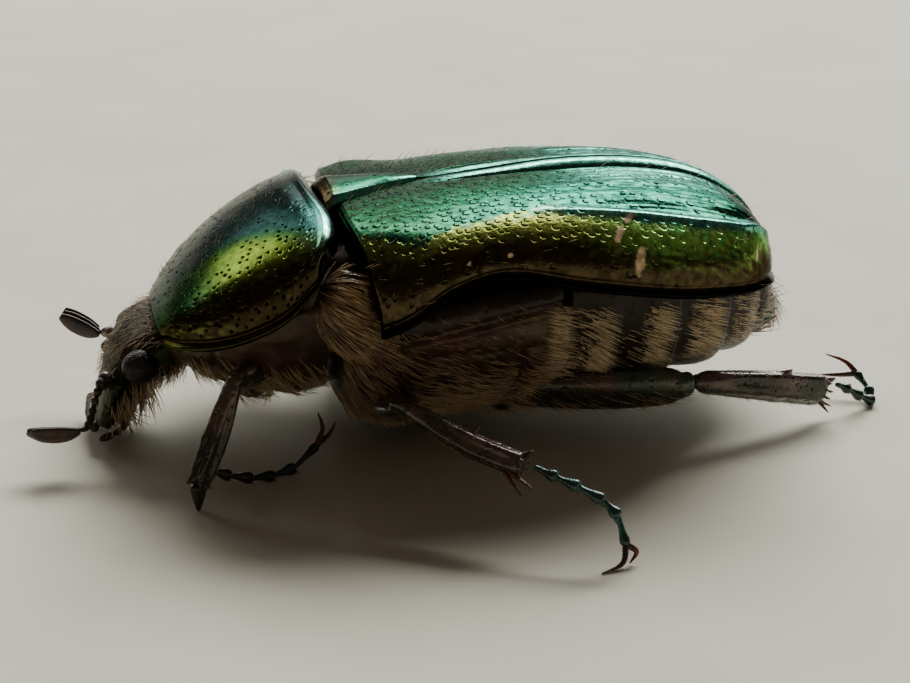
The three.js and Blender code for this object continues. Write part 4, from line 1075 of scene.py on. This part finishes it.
def makeFeeler(word, look):
    name = word.capitalize()
    line, path = lineThrough(look["stem"]), lineThrough(look["club"])
    parts = [limb([(at, 0.13) for at in look["stem"]], sides=18)]
    parts += [knob(line(share), (radius, radius, radius * 1.1)) for share, radius in feelerLook["beads"]]
    parts.append(limb([(look["stem"][-1], 0.16), (look["club"][0], 0.13)], sides=16, steps=8))
    feelerPiece(fuse("antennaStem" + name, parts, 0.02, 2), "antenna_stem_" + word, 0.2, 0.7, 0.09, 0.025, 0.006)
    leaves = []
    for shift, size in feelerLook["leaves"]:
        apart = feelerLook["leafApart"] * shift
        stations = [(path(i / 3) + np.array([0.02 * shift * i, look["side"] * apart, 0.3 * apart]), wide * size,
                     feelerLook["leafDeep"]) for i, wide in enumerate(feelerLook["leafWide"])]
        leaves.append(limb(stations, sides=40, steps=50, facing=(0, 1, 0.15), blunt=0.25))
    feelerPiece(joinParts("antennaClub" + name, leaves), "antenna_club_" + word, -0.1, 0.8, 0.08, 0.022, 0.005)
    root, middle, tip = [np.array(at) for at in look["palp"]]
    knot = middle * 0.55 + root * 0.45
    palp = [limb([(root, 0.12), (knot, 0.2)], sides=18, steps=14),
            limb([(knot, 0.12), (middle, 0.19)], sides=18, steps=14),
            limb([(middle, 0.12), (middle * 0.5 + tip * 0.5, 0.21), (tip, 0.13)], sides=18, steps=20, blunt=0.2)]
    feelerPiece(fuse("palp" + name, palp, 0.018, 2), "palp_" + word, 0.3, 0.6, 0.09, 0.022, 0.004)


makeHead()
for side, word in ((-1, "Left"), (1, "Right")):
    makeEye(side, word)
for word, look in feelers.items():
    makeFeeler(word, look)
print("head made")

# legs: hip and thigh, shin with teeth and spurs, foot with claws
legs = {
    "fore_left": {
        "side": -1, "coxa": [[-4.75, -0.9, 1.6], [-4.95, -2.6, 2.15]],
        "femur": [[-4.95, -2.2, 2.05], [-5.1, -3.5, 2.66], [-5.36, -4.2, 3]], "femurWide": [0.8, 1.05, 0.72],
        "tibia": [[-5.54, -4.7, 3], [-6.06, -5.1, 1.75], [-6.54, -5.36, 0.72]], "tibiaWide": [0.44, 0.6, 0.56],
        "tibiaDeep": 0.44,
        "teeth": [[[-6.56, -5.36, 0.72], [-6.6, -5.4, -0.04], 0.46], [[-6.5, -5.3, 1], [-6.86, -5.46, 0.76], 0.32]],
        "spurs": [[[-6.42, -5.25, 0.8], [-6.26, -5.12, 0.4], 0.24]],
        "tarsus": [[-6.24, -5, 0.86], [-5.76, -4.76, 0.56], [-5.2, -4.48, 0.31], [-4.62, -4.15, 0.17], [-4.05,
                   -3.84, 0.2], [-3.42, -3.42, 0.56]],
        "claws": [[[-3.42, -3.42, 0.58], [-3.22, -3.15, 0.92], [-3.3, -2.95, 1.28]], [[-3.42, -3.42, 0.56], [-3.05,
                   -3.12, 0.72], [-2.85, -2.98, 1]]]},
    "fore_right": {
        "side": 1, "coxa": [[-4.75, 0.9, 1.6], [-4.72, 2.6, 2.05]],
        "femur": [[-4.7, 2.2, 1.95], [-4.5, 3.4, 2.2], [-4.42, 4.3, 2.45]], "femurWide": [0.8, 1.15, 0.8],
        "tibia": [[-4.46, 4.8, 2.45], [-3.95, 5.55, 1.6], [-3.5, 6.2, 0.78]], "tibiaWide": [0.5, 0.75, 0.82],
        "tibiaDeep": 0.5,
        "teeth": [[[-3.5, 6.2, 0.78], [-3.3, 6.62, 0.1], 0.5], [[-3.7, 5.95, 1.1], [-3.3, 6.45, 0.95], 0.34]],
        "spurs": [[[-3.6, 6, 0.72], [-3.72, 6, 0.22], 0.22]],
        "tarsus": [[-3.66, 5.72, 0.5], [-3.75, 5.15, 0.3], [-3.7, 4.65, 0.18], [-3.6, 4.15, 0.17], [-3.45, 3.65,
                   0.22], [-3.2, 3.1, 0.5]],
        "claws": [[[-3.18, 3.05, 0.56], [-3.02, 2.72, 0.92], [-3.1, 2.45, 1]], [[-3.18, 3.05, 0.5], [-2.95, 2.66,
                   0.52], [-2.9, 2.4, 0.28]]]},
    "mid_left": {
        "side": -1, "coxa": [[-1.3, -0.6, 0.95], [-1.4, -2.75, 1.15]],
        "femur": [[-1.38, -2.3, 1], [-1.5, -4.2, 1.8], [-1.66, -5.95, 2.5]], "femurWide": [0.85, 1.2, 0.78],
        "tibia": [[-1.46, -6.4, 2.56], [-0.35, -7.45, 2.1], [0.72, -8.45, 1.86]], "tibiaWide": [0.46, 0.6, 0.62],
        "tibiaDeep": 0.48,
        "teeth": [[[-0.35, -7.4, 2.2], [-0.08, -7.5, 2.56], 0.26], [[0.6, -8.3, 2], [1, -8.42, 2.2], 0.26]],
        "spurs": [[[0.35, -8.3, 1.75], [0.93, -8.86, 1.38], 0.22], [[0.3, -8.3, 1.72], [0.6, -8.92, 1.3], 0.2]],
        "tarsus": [[1, -8.72, 1.9], [1.36, -9.05, 1.79], [1.8, -9.4, 1.66], [2.3, -9.72, 1.42], [2.6, -9.92, 1.1],
                   [2.74, -10.14, 0.46]],
        "claws": [[[2.74, -10.14, 0.46], [2.6, -10.38, 0.12], [2.04, -10.6, 0.02]], [[2.76, -10.14, 0.46], [2.98,
                   -10.2, 0.28], [2.8, -10.28, 0.04]]]},
    "mid_right": {
        "side": 1, "coxa": [[-1.3, 0.6, 0.95], [-1.4, 2.75, 1.15]],
        "femur": [[-1.38, 2.3, 1], [-1.45, 4.2, 1.85], [-1.5, 5.8, 2.6]], "femurWide": [0.85, 1.25, 0.8],
        "tibia": [[-1.4, 6.3, 2.7], [-0.5, 7.4, 2.2], [0.4, 8.4, 1.6]], "tibiaWide": [0.48, 0.66, 0.78],
        "tibiaDeep": 0.52,
        "teeth": [[[-0.15, 7.75, 2.1], [0.1, 7.8, 2.5], 0.3], [[0.35, 8.3, 1.75], [0.75, 8.35, 1.95], 0.28]],
        "spurs": [[[0.3, 8.4, 1.45], [0.42, 8.8, 0.95], 0.24], [[0.05, 8.4, 1.5], [0.05, 8.85, 1.12], 0.22]],
        "tarsus": [[0.75, 8.68, 1.42], [1.12, 9.05, 1.2], [1.45, 9.42, 0.95], [1.72, 9.75, 0.7], [1.95, 10.02,
                   0.5], [2.1, 10.3, 0.36]],
        "claws": [[[2.1, 10.32, 0.32], [2.25, 10.5, 0.1], [2.05, 10.62, 0.03]], [[2.12, 10.3, 0.32], [2.45, 10.4,
                   0.16], [2.7, 10.3, 0.03]]]},
    "hind_left": {
        "side": -1, "coxa": [[1.5, -0.7, 1], [1.6, -3.05, 1.3]],
        "femur": [[1.55, -2.65, 1.3], [3.9, -3.75, 1.62], [6, -4.3, 1.78]], "femurWide": [0.85, 1.22, 1.12],
        "tibia": [[6.38, -4.26, 1.82], [8.6, -3.72, 1.3], [10.4, -3.08, 0.76]], "tibiaWide": [0.62, 0.82, 0.92],
        "tibiaDeep": 0.5,
        "teeth": [[[8.7, -3.66, 1.5], [9.3, -3.54, 1.64], 0.36], [[10.2, -3.1, 0.98], [10.78, -2.98, 1.04], 0.36]],
        "spurs": [[[10.1, -3.12, 0.56], [10.66, -3.05, 0.26], 0.26], [[10.15, -3.2, 0.6], [10.5, -3.3, 0.18],
                   0.22]],
        "tarsus": [[10.86, -3, 0.84], [11.2, -2.9, 0.66], [11.62, -2.8, 0.36], [12.05, -2.65, 0.13], [12.12, -2.2,
                   0.3], [11.92, -1.8, 0.62]],
        "claws": [[[11.92, -1.8, 0.62], [11.68, -1.5, 0.88], [11.2, -1.2, 1.03]], [[11.9, -1.8, 0.6], [11.4, -1.65,
                   0.56], [10.85, -1.5, 0.56]]]},
    "hind_right": {
        "side": 1, "coxa": [[1.5, 0.7, 1], [1.7, 3.05, 1.35]],
        "femur": [[1.6, 2.6, 1.25], [3, 4.1, 1.75], [4, 5.4, 2.1]], "femurWide": [0.85, 1.3, 1.05],
        "tibia": [[4.25, 5.9, 2.08], [5.1, 7.3, 1.5], [5.9, 8.7, 0.92]], "tibiaWide": [0.6, 0.84, 0.96],
        "tibiaDeep": 0.52,
        "teeth": [[[5.2, 7.45, 1.6], [5.6, 7.6, 1.95], 0.34], [[5.9, 8.55, 1.1], [6.3, 8.7, 1.4], 0.32]],
        "spurs": [[[5.8, 8.6, 0.6], [5.98, 9, 0.12], 0.26], [[6, 8.6, 0.75], [6.35, 8.85, 0.4], 0.22]],
        "tarsus": [[6.08, 9.05, 0.74], [6.32, 9.5, 0.52], [6.55, 9.88, 0.34], [6.8, 10.2, 0.2], [7.1, 10.42, 0.17],
                   [7.5, 10.5, 0.24]],
        "claws": [[[7.52, 10.5, 0.32], [7.85, 10.55, 0.45], [8.08, 10.4, 0.1]], [[7.52, 10.5, 0.3], [7.8, 10.32,
                   0.35], [7.98, 10.12, 0.05]]]},
}
legLook = {
    "black": (0.028, 0.026, 0.02), "green": (0.03, 0.055, 0.035), "brown": (0.09, 0.055, 0.04),
    "plum": (0.1, 0.065, 0.055), "footGreen": (0.02, 0.075, 0.065), "footDark": (0.03, 0.032, 0.026),
    "claw": (0.16, 0.03, 0.012), "voxel": 0.036, "thighPits": (0.2, 0.055, 0.014, 2.0),
    "shinPits": (0.15, 0.045, 0.014, 3.0), "footPits": (0.12, 0.025, 0.006, 4.0), "crown": 9,
    "segment": (0.14, 0.35, 0.17, 0.8, 0.31, 0.02, 0.27),  # widths and shares along a foot's segment
    "lastSegment": (0.13, 0.5, 0.16, 0.85, 0.25, 0.04, 0.2), "clawWide": (0.16, 0.12, 0.03)}


def thighGrid(leg, sides=40, steps=70, more=None):
    return tube([(at, w, w * 0.62) for at, w in zip(leg["femur"], leg["femurWide"])], sides=sides, steps=steps,
                facing=(0, leg["side"], -0.25), blunt=0.16, shape=more)


def shinGrid(leg, sides=36, steps=80, more=None):
    return tube([(at, w, leg["tibiaDeep"]) for at, w in zip(leg["tibia"], leg["tibiaWide"])], sides=sides,
                steps=steps, facing=(0, leg["side"], 0), blunt=0.08, shape=more)


def hipGrid(leg, sides=40, steps=40):
    return tube([(leg["coxa"][0], 1.15, 1.05), (leg["coxa"][1], 0.95, 0.9)], sides=sides, steps=steps, blunt=0.3)


def legPaint(made, first, second, size, seed):
    patches = smooth(-0.5, 0.5, grain(perPoint(made), size, seed))
    # painted shade: the downward-facing side is darkened towards black
    below = smooth(0.3, -0.5, perPoint(made, "normal")[:, 2])
    store(made, {"paint": painted(legLook, first, (second, patches), ("black", 0.7 * below))})


def makeThigh(name, word, leg):
    knee, end, wide = np.array(leg["tibia"][0]), np.array(leg["femur"][-1]), leg["femurWide"][2]
    parts = [closed(hipGrid(leg)),
             closed(thighGrid(leg, more=lambda t, g: -0.04 * bell(np.sin(g) + 1, 0.5) * bell(t - 0.8, 0.25))),
             limb([(end + (end - knee) * 0.6, wide * 0.7, wide * 0.5),
                   (mix(end, knee, 0.72), wide * 0.62, wide * 0.42)],
                  sides=28, steps=20, blunt=0.3, facing=(0, leg["side"], -0.25))]
    made = fuse("femur" + word, parts, legLook["voxel"])
    legPaint(made, "green", "brown", 0.9, len(name))
    finishPiece(pitsOver(made, legFinish, 0.8, *legLook["thighPits"]), legFinish, "legs", "femur_" + name)


def makeShin(name, word, leg):
    def ridges(t, g):
        along = 0.028 * np.cos(5 * g) * span(0.1, 0.3, 0.85, 1.0, t)
        return along + 0.03 * bell(t - 0.55, 0.05) * np.maximum(np.cos(g), 0)

    start, before, tip = [np.array(at) for at in leg["tibia"]]
    bend = [(mix(start, np.array(leg["femur"][-1]), 0.45), 0.26), (start, 0.34), (mix(start, before, 0.12), 0.4)]
    parts = [closed(shinGrid(leg, more=ridges)), knob(start, 0.2), limb(bend, sides=20, steps=16)]
    parts += [spike(root, end, wide * 1.05, 0.07, sides=16) for root, end, wide in leg["teeth"]]
    ahead = unit(tip - before)
    side = unit(np.cross(ahead, (0.2, 0.3, 1.0)))
    for k in range(legLook["crown"]):  # the crown of blunt teeth around the shin's end
        turn = k / legLook["crown"] * fullTurn
        out = side * math.cos(turn) + np.cross(ahead, side) * math.sin(turn)
        root = tip - ahead * 0.1 + out * leg["tibiaWide"][2] * 0.3
        parts.append(spike(root, root + ahead * 0.17 + out * 0.07, 0.11, 0.04, sides=8, steps=5))
    made = fuse("tibiaRough" + word, parts, legLook["voxel"] * 0.85, 2)
    spurs = [spike(root, end, wide * 0.62, 0.03, sides=14) for root, end, wide in leg["spurs"]]
    spurs = joinParts("spurs" + word, spurs)
    legPaint(made, "black", "plum", 0.7, len(name) + 3)
    legPaint(spurs, "claw", "brown", 0.3, 2)
    made = oneOf("tibia" + word, [pitsOver(made, legFinish, 0.8, *legLook["shinPits"]), spurs])
    onFloor(made)
    finishPiece(made, legFinish, "legs", "tibia_" + name)


def makeFoot(name, word, leg):
    joints, parts = [np.array(p) for p in leg["tarsus"]], []
    for i, (a, b) in enumerate(zip(joints, joints[1:])):
        last = i == 4
        ahead = unit(b - a)
        start = a - ahead * (0.1 if i == 0 else 0.03)
        w0, t1, w1, t2, w2, past, w3 = legLook["lastSegment" if last else "segment"]
        stations = [(start, w0), (mix(a, b, t1), w1), (mix(a, b, t2), w2), (b + ahead * past, w3)]
        parts.append(limb(stations, sides=28, steps=36, blunt=0.1,
                          shape=lambda t, g: -0.03 * bell(t - 0.98, 0.08) * np.abs(np.cos(g))))
        low = unit(np.array([0, 0, -1.0]) + ahead * ahead[2])
        flank = np.cross(ahead, low)
        for turn in () if last else (-0.6, 0.6):  # two small spines under each segment's end
            out = low * math.cos(turn) + flank * math.sin(turn)
            root = b - ahead * 0.05 + out * 0.1
            parts.append(spike(root, root + ahead * 0.16 + out * 0.07, 0.06, 0.02, sides=8, steps=5))
    made = fuse("tarsusRough" + word, parts, 0.023, 2)
    claws = joinParts("claws" + word, [limb(list(zip(claw, legLook["clawWide"])), sides=18, steps=26, blunt=0.04)
                                       for claw in leg["claws"]])
    legPaint(made, "footDark", "footGreen", 0.4, len(name))
    legPaint(claws, "claw", "brown", 0.3, 4)
    made = oneOf("tarsus" + word, [pitsOver(made, footFinish, 0.4, *legLook["footPits"]), claws])
    onFloor(made)
    finishPiece(made, footFinish, "feet", "tarsus_" + name)


words = {name: name.title().replace("_", "") for name in legs}
for name, leg in legs.items():
    makeThigh(name, words[name], leg)
    makeShin(name, words[name], leg)
    makeFoot(name, words[name], leg)
print("legs made")

# hair
strandLook = {"rings": 4, "root": 0.022, "tip": 0.003, "bow": 0.22}


def makeStrand():  # one hair a unit long, rising along z and bowing over towards x
    points, uv, faces, rings = [], [], [], strandLook["rings"]
    for i in range(rings):
        t = i / rings
        r = mix(strandLook["root"], strandLook["tip"], t ** 1.3)
        for k in range(3):
            turn, n = k / 3 * fullTurn, (k + 1) % 3
            points.append((strandLook["bow"] * t * t + r * math.cos(turn), r * math.sin(turn), t))
            uv.append((k / 3, t, 0))
            if i < rings - 1:
                faces.append((3 * i + k, 3 * i + n, 3 * i + n + 3, 3 * i + k + 3))
    top = len(points)
    faces += [(top - 3 + k, top - 3 + (k + 1) % 3, top) for k in range(3)] + [(2, 1, 0)]
    uv = np.array(uv + [(0.5, 1, 0)])
    mesh = newMesh("strand", points + [(strandLook["bow"], 0, 1)], faces)
    mesh.shade_smooth()
    made = newObject("strand", mesh)
    store(made, {"strandUV": uv, "strandAlong": uv[:, 1]})
    return made


strand = makeStrand()


def patch(p, density, flow, length=1.0, wrap=True, centre=None):  # skin for one field of hair
    n = outwardNormals(p, wrap, centre)
    flow = np.broadcast_to(np.asarray(flow, float), p.shape)
    lie = unit(flow - n * (flow * n).sum(-1, keepdims=True))
    one = np.ones(p.shape[:2])
    return {"p": p, "wrap": wrap, "turned": (gridNormals(p, wrap) * n).sum(-1).mean() > 0, "hairFlow": lie,
            "hairDensity": np.clip(density * one, 0, 1), "hairLength": length * one}


def makeCoat(name, slot, patches, look, finish):
    def whole(key):
        return np.concatenate([one[key].reshape(-1, *one[key].shape[2:]) for one in patches])

    faces, first, tiles = [], 0, math.ceil(math.sqrt(len(patches)))
    for i, one in enumerate(patches):
        rows, cols = one["p"].shape[:2]
        quads = gridFaces(rows, cols, one["wrap"], first)
        faces += [q[::-1] for q in quads] if one["turned"] else quads
        r, c = np.meshgrid(np.linspace(0.02, 0.98, rows), np.linspace(0.02, 0.98, cols), indexing="ij")
        one["skinUV"] = np.stack([(c + i % tiles) / tiles, (r + i // tiles) / tiles, 0 * r], -1)
        first += rows * cols
    made = newObject(name, newMesh(name, whole("p"), faces))
    store(made, {key: whole(key) for key in ("hairDensity", "hairFlow", "hairLength", "skinUV")})
    made = useTree(made, combedHair, {"Strand": strand, **look, "Finish": finish})
    onFloor(made)
    for key in ("strandUV", "skinUV", "hairFlow", "hairDensity", "hairLength"):
        if key in made.data.attributes:
            made.data.attributes.remove(made.data.attributes[key])
    print(name, len(made.data.polygons), "faces")
    finishPiece(made, finish, slot)


def tufts(p, size, seed, low=0.0, start=-0.5, end=0.4):  # uneven growth, from low to 1
    return mix(low, 1.0, smooth(start, end, grain(p, size, seed)))


def chestSkin():
    p = section(pterothorax, 90, 190)[2:]
    rise, strip = chestRelief(p)[:2]
    return p + outwardNormals(p) * rise[..., None], strip


def chestPatches():
    p, strip = chestSkin()
    z = p[..., 2]
    density = (1 - smooth(4.0, 4.5, z)) * (0.35 + 0.65 * tufts(p, 0.5, 4)) * (1 - 0.65 * strip)
    density = density * mix(0.35, 1, smooth(0.7, 2.4, np.abs(p[..., 1])))
    length = mix(0.75, 1.3, smooth(3.0, 1.4, z)) * (1 - 0.4 * strip)
    q = section(prosternum, 50, 130)[8:-1]
    front = (1 - smooth(2.7, 3.3, q[..., 2])) * tufts(q, 0.45, 3, 0.3)
    return [patch(p, density, field(p, 1, 0, -0.5 + 0.35 * grain(p, 0.9, 6)), length),
            patch(q, front, field(q, 0.5, 0, -1 + 0.3 * grain(q, 0.8, 5)), 1.15)]


def bellyPatches():
    p = section(abdomen, 120, 170, tileRipple)[1:-1]
    x, z = p[..., 0], p[..., 2]
    share = tileShare(x)
    side = span(2.0, 2.6, 3.9, 4.25, z) * tufts(p, 0.3, 8, 0.75, -0.3, 0.3)
    start = np.interp(x, [4.2, 4.3, 5.8, 5.9], [0.02, 0.24, 0.24, 0.1])
    brush = smooth(start, start + 0.12, share) * (1 - smooth(0.6, 0.66, share)) * side
    density = np.maximum(brush, 0.1 * (1 - smooth(0.55, 0.8, share)) * (1 - smooth(3.2, 3.8, z)))
    flow = field(p, 1, 0, -0.3 - 0.3 * smooth(3.9, 2.4, z))
    q = chestSkin()[0]  # the brush on the chest's rear edge
    hem = smooth(2.15, 2.4, q[..., 0]) * span(1.9, 2.5, 4.0, 4.3, q[..., 2])
    return [patch(p, density, flow, mix(0.75, 1.0, side)), patch(q, 0.7 * hem, (1, 0, -0.3))]


def rearPatches():
    p = ball(*tail["shape"], 60, 40)
    density = smooth(9.1, 9.3, p[..., 0]) * tufts(p, 0.4, 3, 0.0, -0.4, 0.3)
    density = density * mix(1.0, 0.45, smooth(2.8, 3.3, p[..., 2]))
    q = section(abdomen, 120, 170, tileRipple)[96:]
    low = (1 - smooth(3.2, 3.8, q[..., 2])) * tufts(q, 0.4, 7, 0.0, -0.5, 0.3) * smooth(7.9, 8.3, q[..., 0])
    return [patch(p, density, (1, 0, -0.7)), patch(q, low, (1, 0, -0.15), 1.2)]


def headPatches():
    p = skullGrid(50, 90)[2:-2]
    x, y, z = p[..., 0], np.abs(p[..., 1]), p[..., 2]
    n = outwardNormals(p)
    brow = smooth(1.3, 1.8, z) * smooth(0.2, 0.6, n[..., 2] - n[..., 0])
    cheek = 0.5 * smooth(0.9, 1.3, y) * smooth(-7.4, -7.0, x)
    toEye = np.linalg.norm((p - np.array(face["eye"])) * np.array([1, 0, 1]), axis=-1)
    toEye = toEye + 0.8 * (1.3 - np.minimum(y, 1.3))
    density = np.maximum(brow, 0.8 * cheek) * smooth(0.5, 0.62, toEye) * tufts(p, 0.35, 6, 0.4, -0.5, 0.3)
    chin = ball(*face["chin"], 60, 40)
    beard = smooth(1.6, 1.2, chin[..., 2]) * tufts(chin, 0.3, 2, 0.6, -0.3, 0.4)
    below = smooth(0.1, -0.3, n[..., 2] - 0.4 * n[..., 0]) * smooth(0.55, 1.0, z) * 0.9
    return [patch(p, density, field(p, -0.8, 0.5 * np.sign(p[..., 1]), -0.7), mix(0.6, 0.85, cheek)),
            patch(chin, beard, (0.15, 0, -1), 1.7), patch(p, below, (0.1, 0, -1), 1.1)]


def shoulderPatches():
    patches = []
    for side in (-1, 1):
        p = shoulderGrid(side, 60, 60)
        z = p[..., 2]
        density = smooth(3.9, 4.15, side * p[..., 1]) * (1 - smooth(5.1, 5.5, z))
        density = density * tufts(p, 0.3, 4, 0.5, -0.5, 0.3)
        patches.append(patch(p, density, field(p, 1, 0, -0.55 - 0.3 * smooth(4.6, 3.4, z))))
    return patches


def legPatches(leg):
    def skin(p, key):  # height of the outward direction and the limb's own direction
        line = lineThrough(leg[key])(np.linspace(0, 1, 41))[:, None]
        return unit(p - line)[..., 2], unit(np.array(leg[key][-1]) - np.array(leg[key][0]))

    thigh, shin, hip = thighGrid(leg, 40, 40), shinGrid(leg, 36, 40), hipGrid(leg, 30, 24)[8:-1]
    up, along = skin(thigh, "femur")
    fringe = np.maximum(smooth(0.2, -0.5, up), 0.12) * tufts(thigh, 0.35, 3, 0.3, -0.4)
    up, down = skin(shin, "tibia")
    bristle = np.maximum(0.9 * smooth(0.0, -0.6, up), 0.2) * tufts(shin, 0.25, 5, 0.3, -0.4)
    return [patch(thigh, fringe, along + np.array([0.1, 0, -0.25])), patch(shin, bristle, down, 0.62),
            patch(hip, 0.7, (0.5, 0.4 * leg["side"], -0.6), 1.1)]


def backPatches():
    patches = []
    for side, (p, v) in wings.items():
        q, share = p[::8, ::6], v[::8, ::6]
        x = q[..., 0]
        density = mix(0.7, 0.22, smooth(0.5, 3.5, x)) * smooth(0.02, 0.06, share)
        density = density * (1 - 0.7 * smooth(0.7, 0.9, share)) + 0.25 * smooth(7.8, 9, x)
        patches.append(patch(q, density, (1, 0, 0), 1.0, False, (0, side * 1.5, 2)))
    p, v = shieldGrid
    q, share = p[::6, ::8], np.abs(v[::6, ::8])
    density = mix(0.45, 0.15, smooth(0.3, 0.7, share)) * mix(1.4, 0.7, smooth(-6.5, -4, q[..., 0]))
    return patches + [patch(q, density, (0.6, 0, 0.5), 0.8, False, (-5, 0, 1.5))]


coats = {  # density, length, lift, scatter and seed
    "chestHair": (chestPatches, "underside", goldenHair, (100.0, 0.72, 0.28, 0.16, 3)),
    "bellyHair": (bellyPatches, "abdomen", strawHair, (360.0, 0.56, 0.36, 0.06, 5)),
    "rearHair": (rearPatches, "abdomen", paleHair, (90.0, 0.75, 0.5, 0.3, 7)),
    "headHair": (headPatches, "head", goldenHair, (80.0, 0.55, 0.7, 0.3, 9)),
    "shoulderHair": (shoulderPatches, "underside", goldenHair, (160.0, 0.62, 0.22, 0.12, 11)),
    "backHair": (backPatches, "elytra", goldenHair, (5.0, 0.33, 1.3, 0.35, 13)),
}
for name, leg in legs.items():
    coats["hair" + words[name]] = (lambda leg=leg: legPatches(leg), "legs", goldenHair,
                                   (75.0, 0.42, 0.6, 0.25, 20 + len(name)))
for name, (patches, slot, finish, values) in coats.items():
    makeCoat(name, slot, patches(), dict(zip(("Density", "Length", "Lift", "Scatter", "Seed"), values)), finish)
bpy.data.objects.remove(strand)
print("hair made")
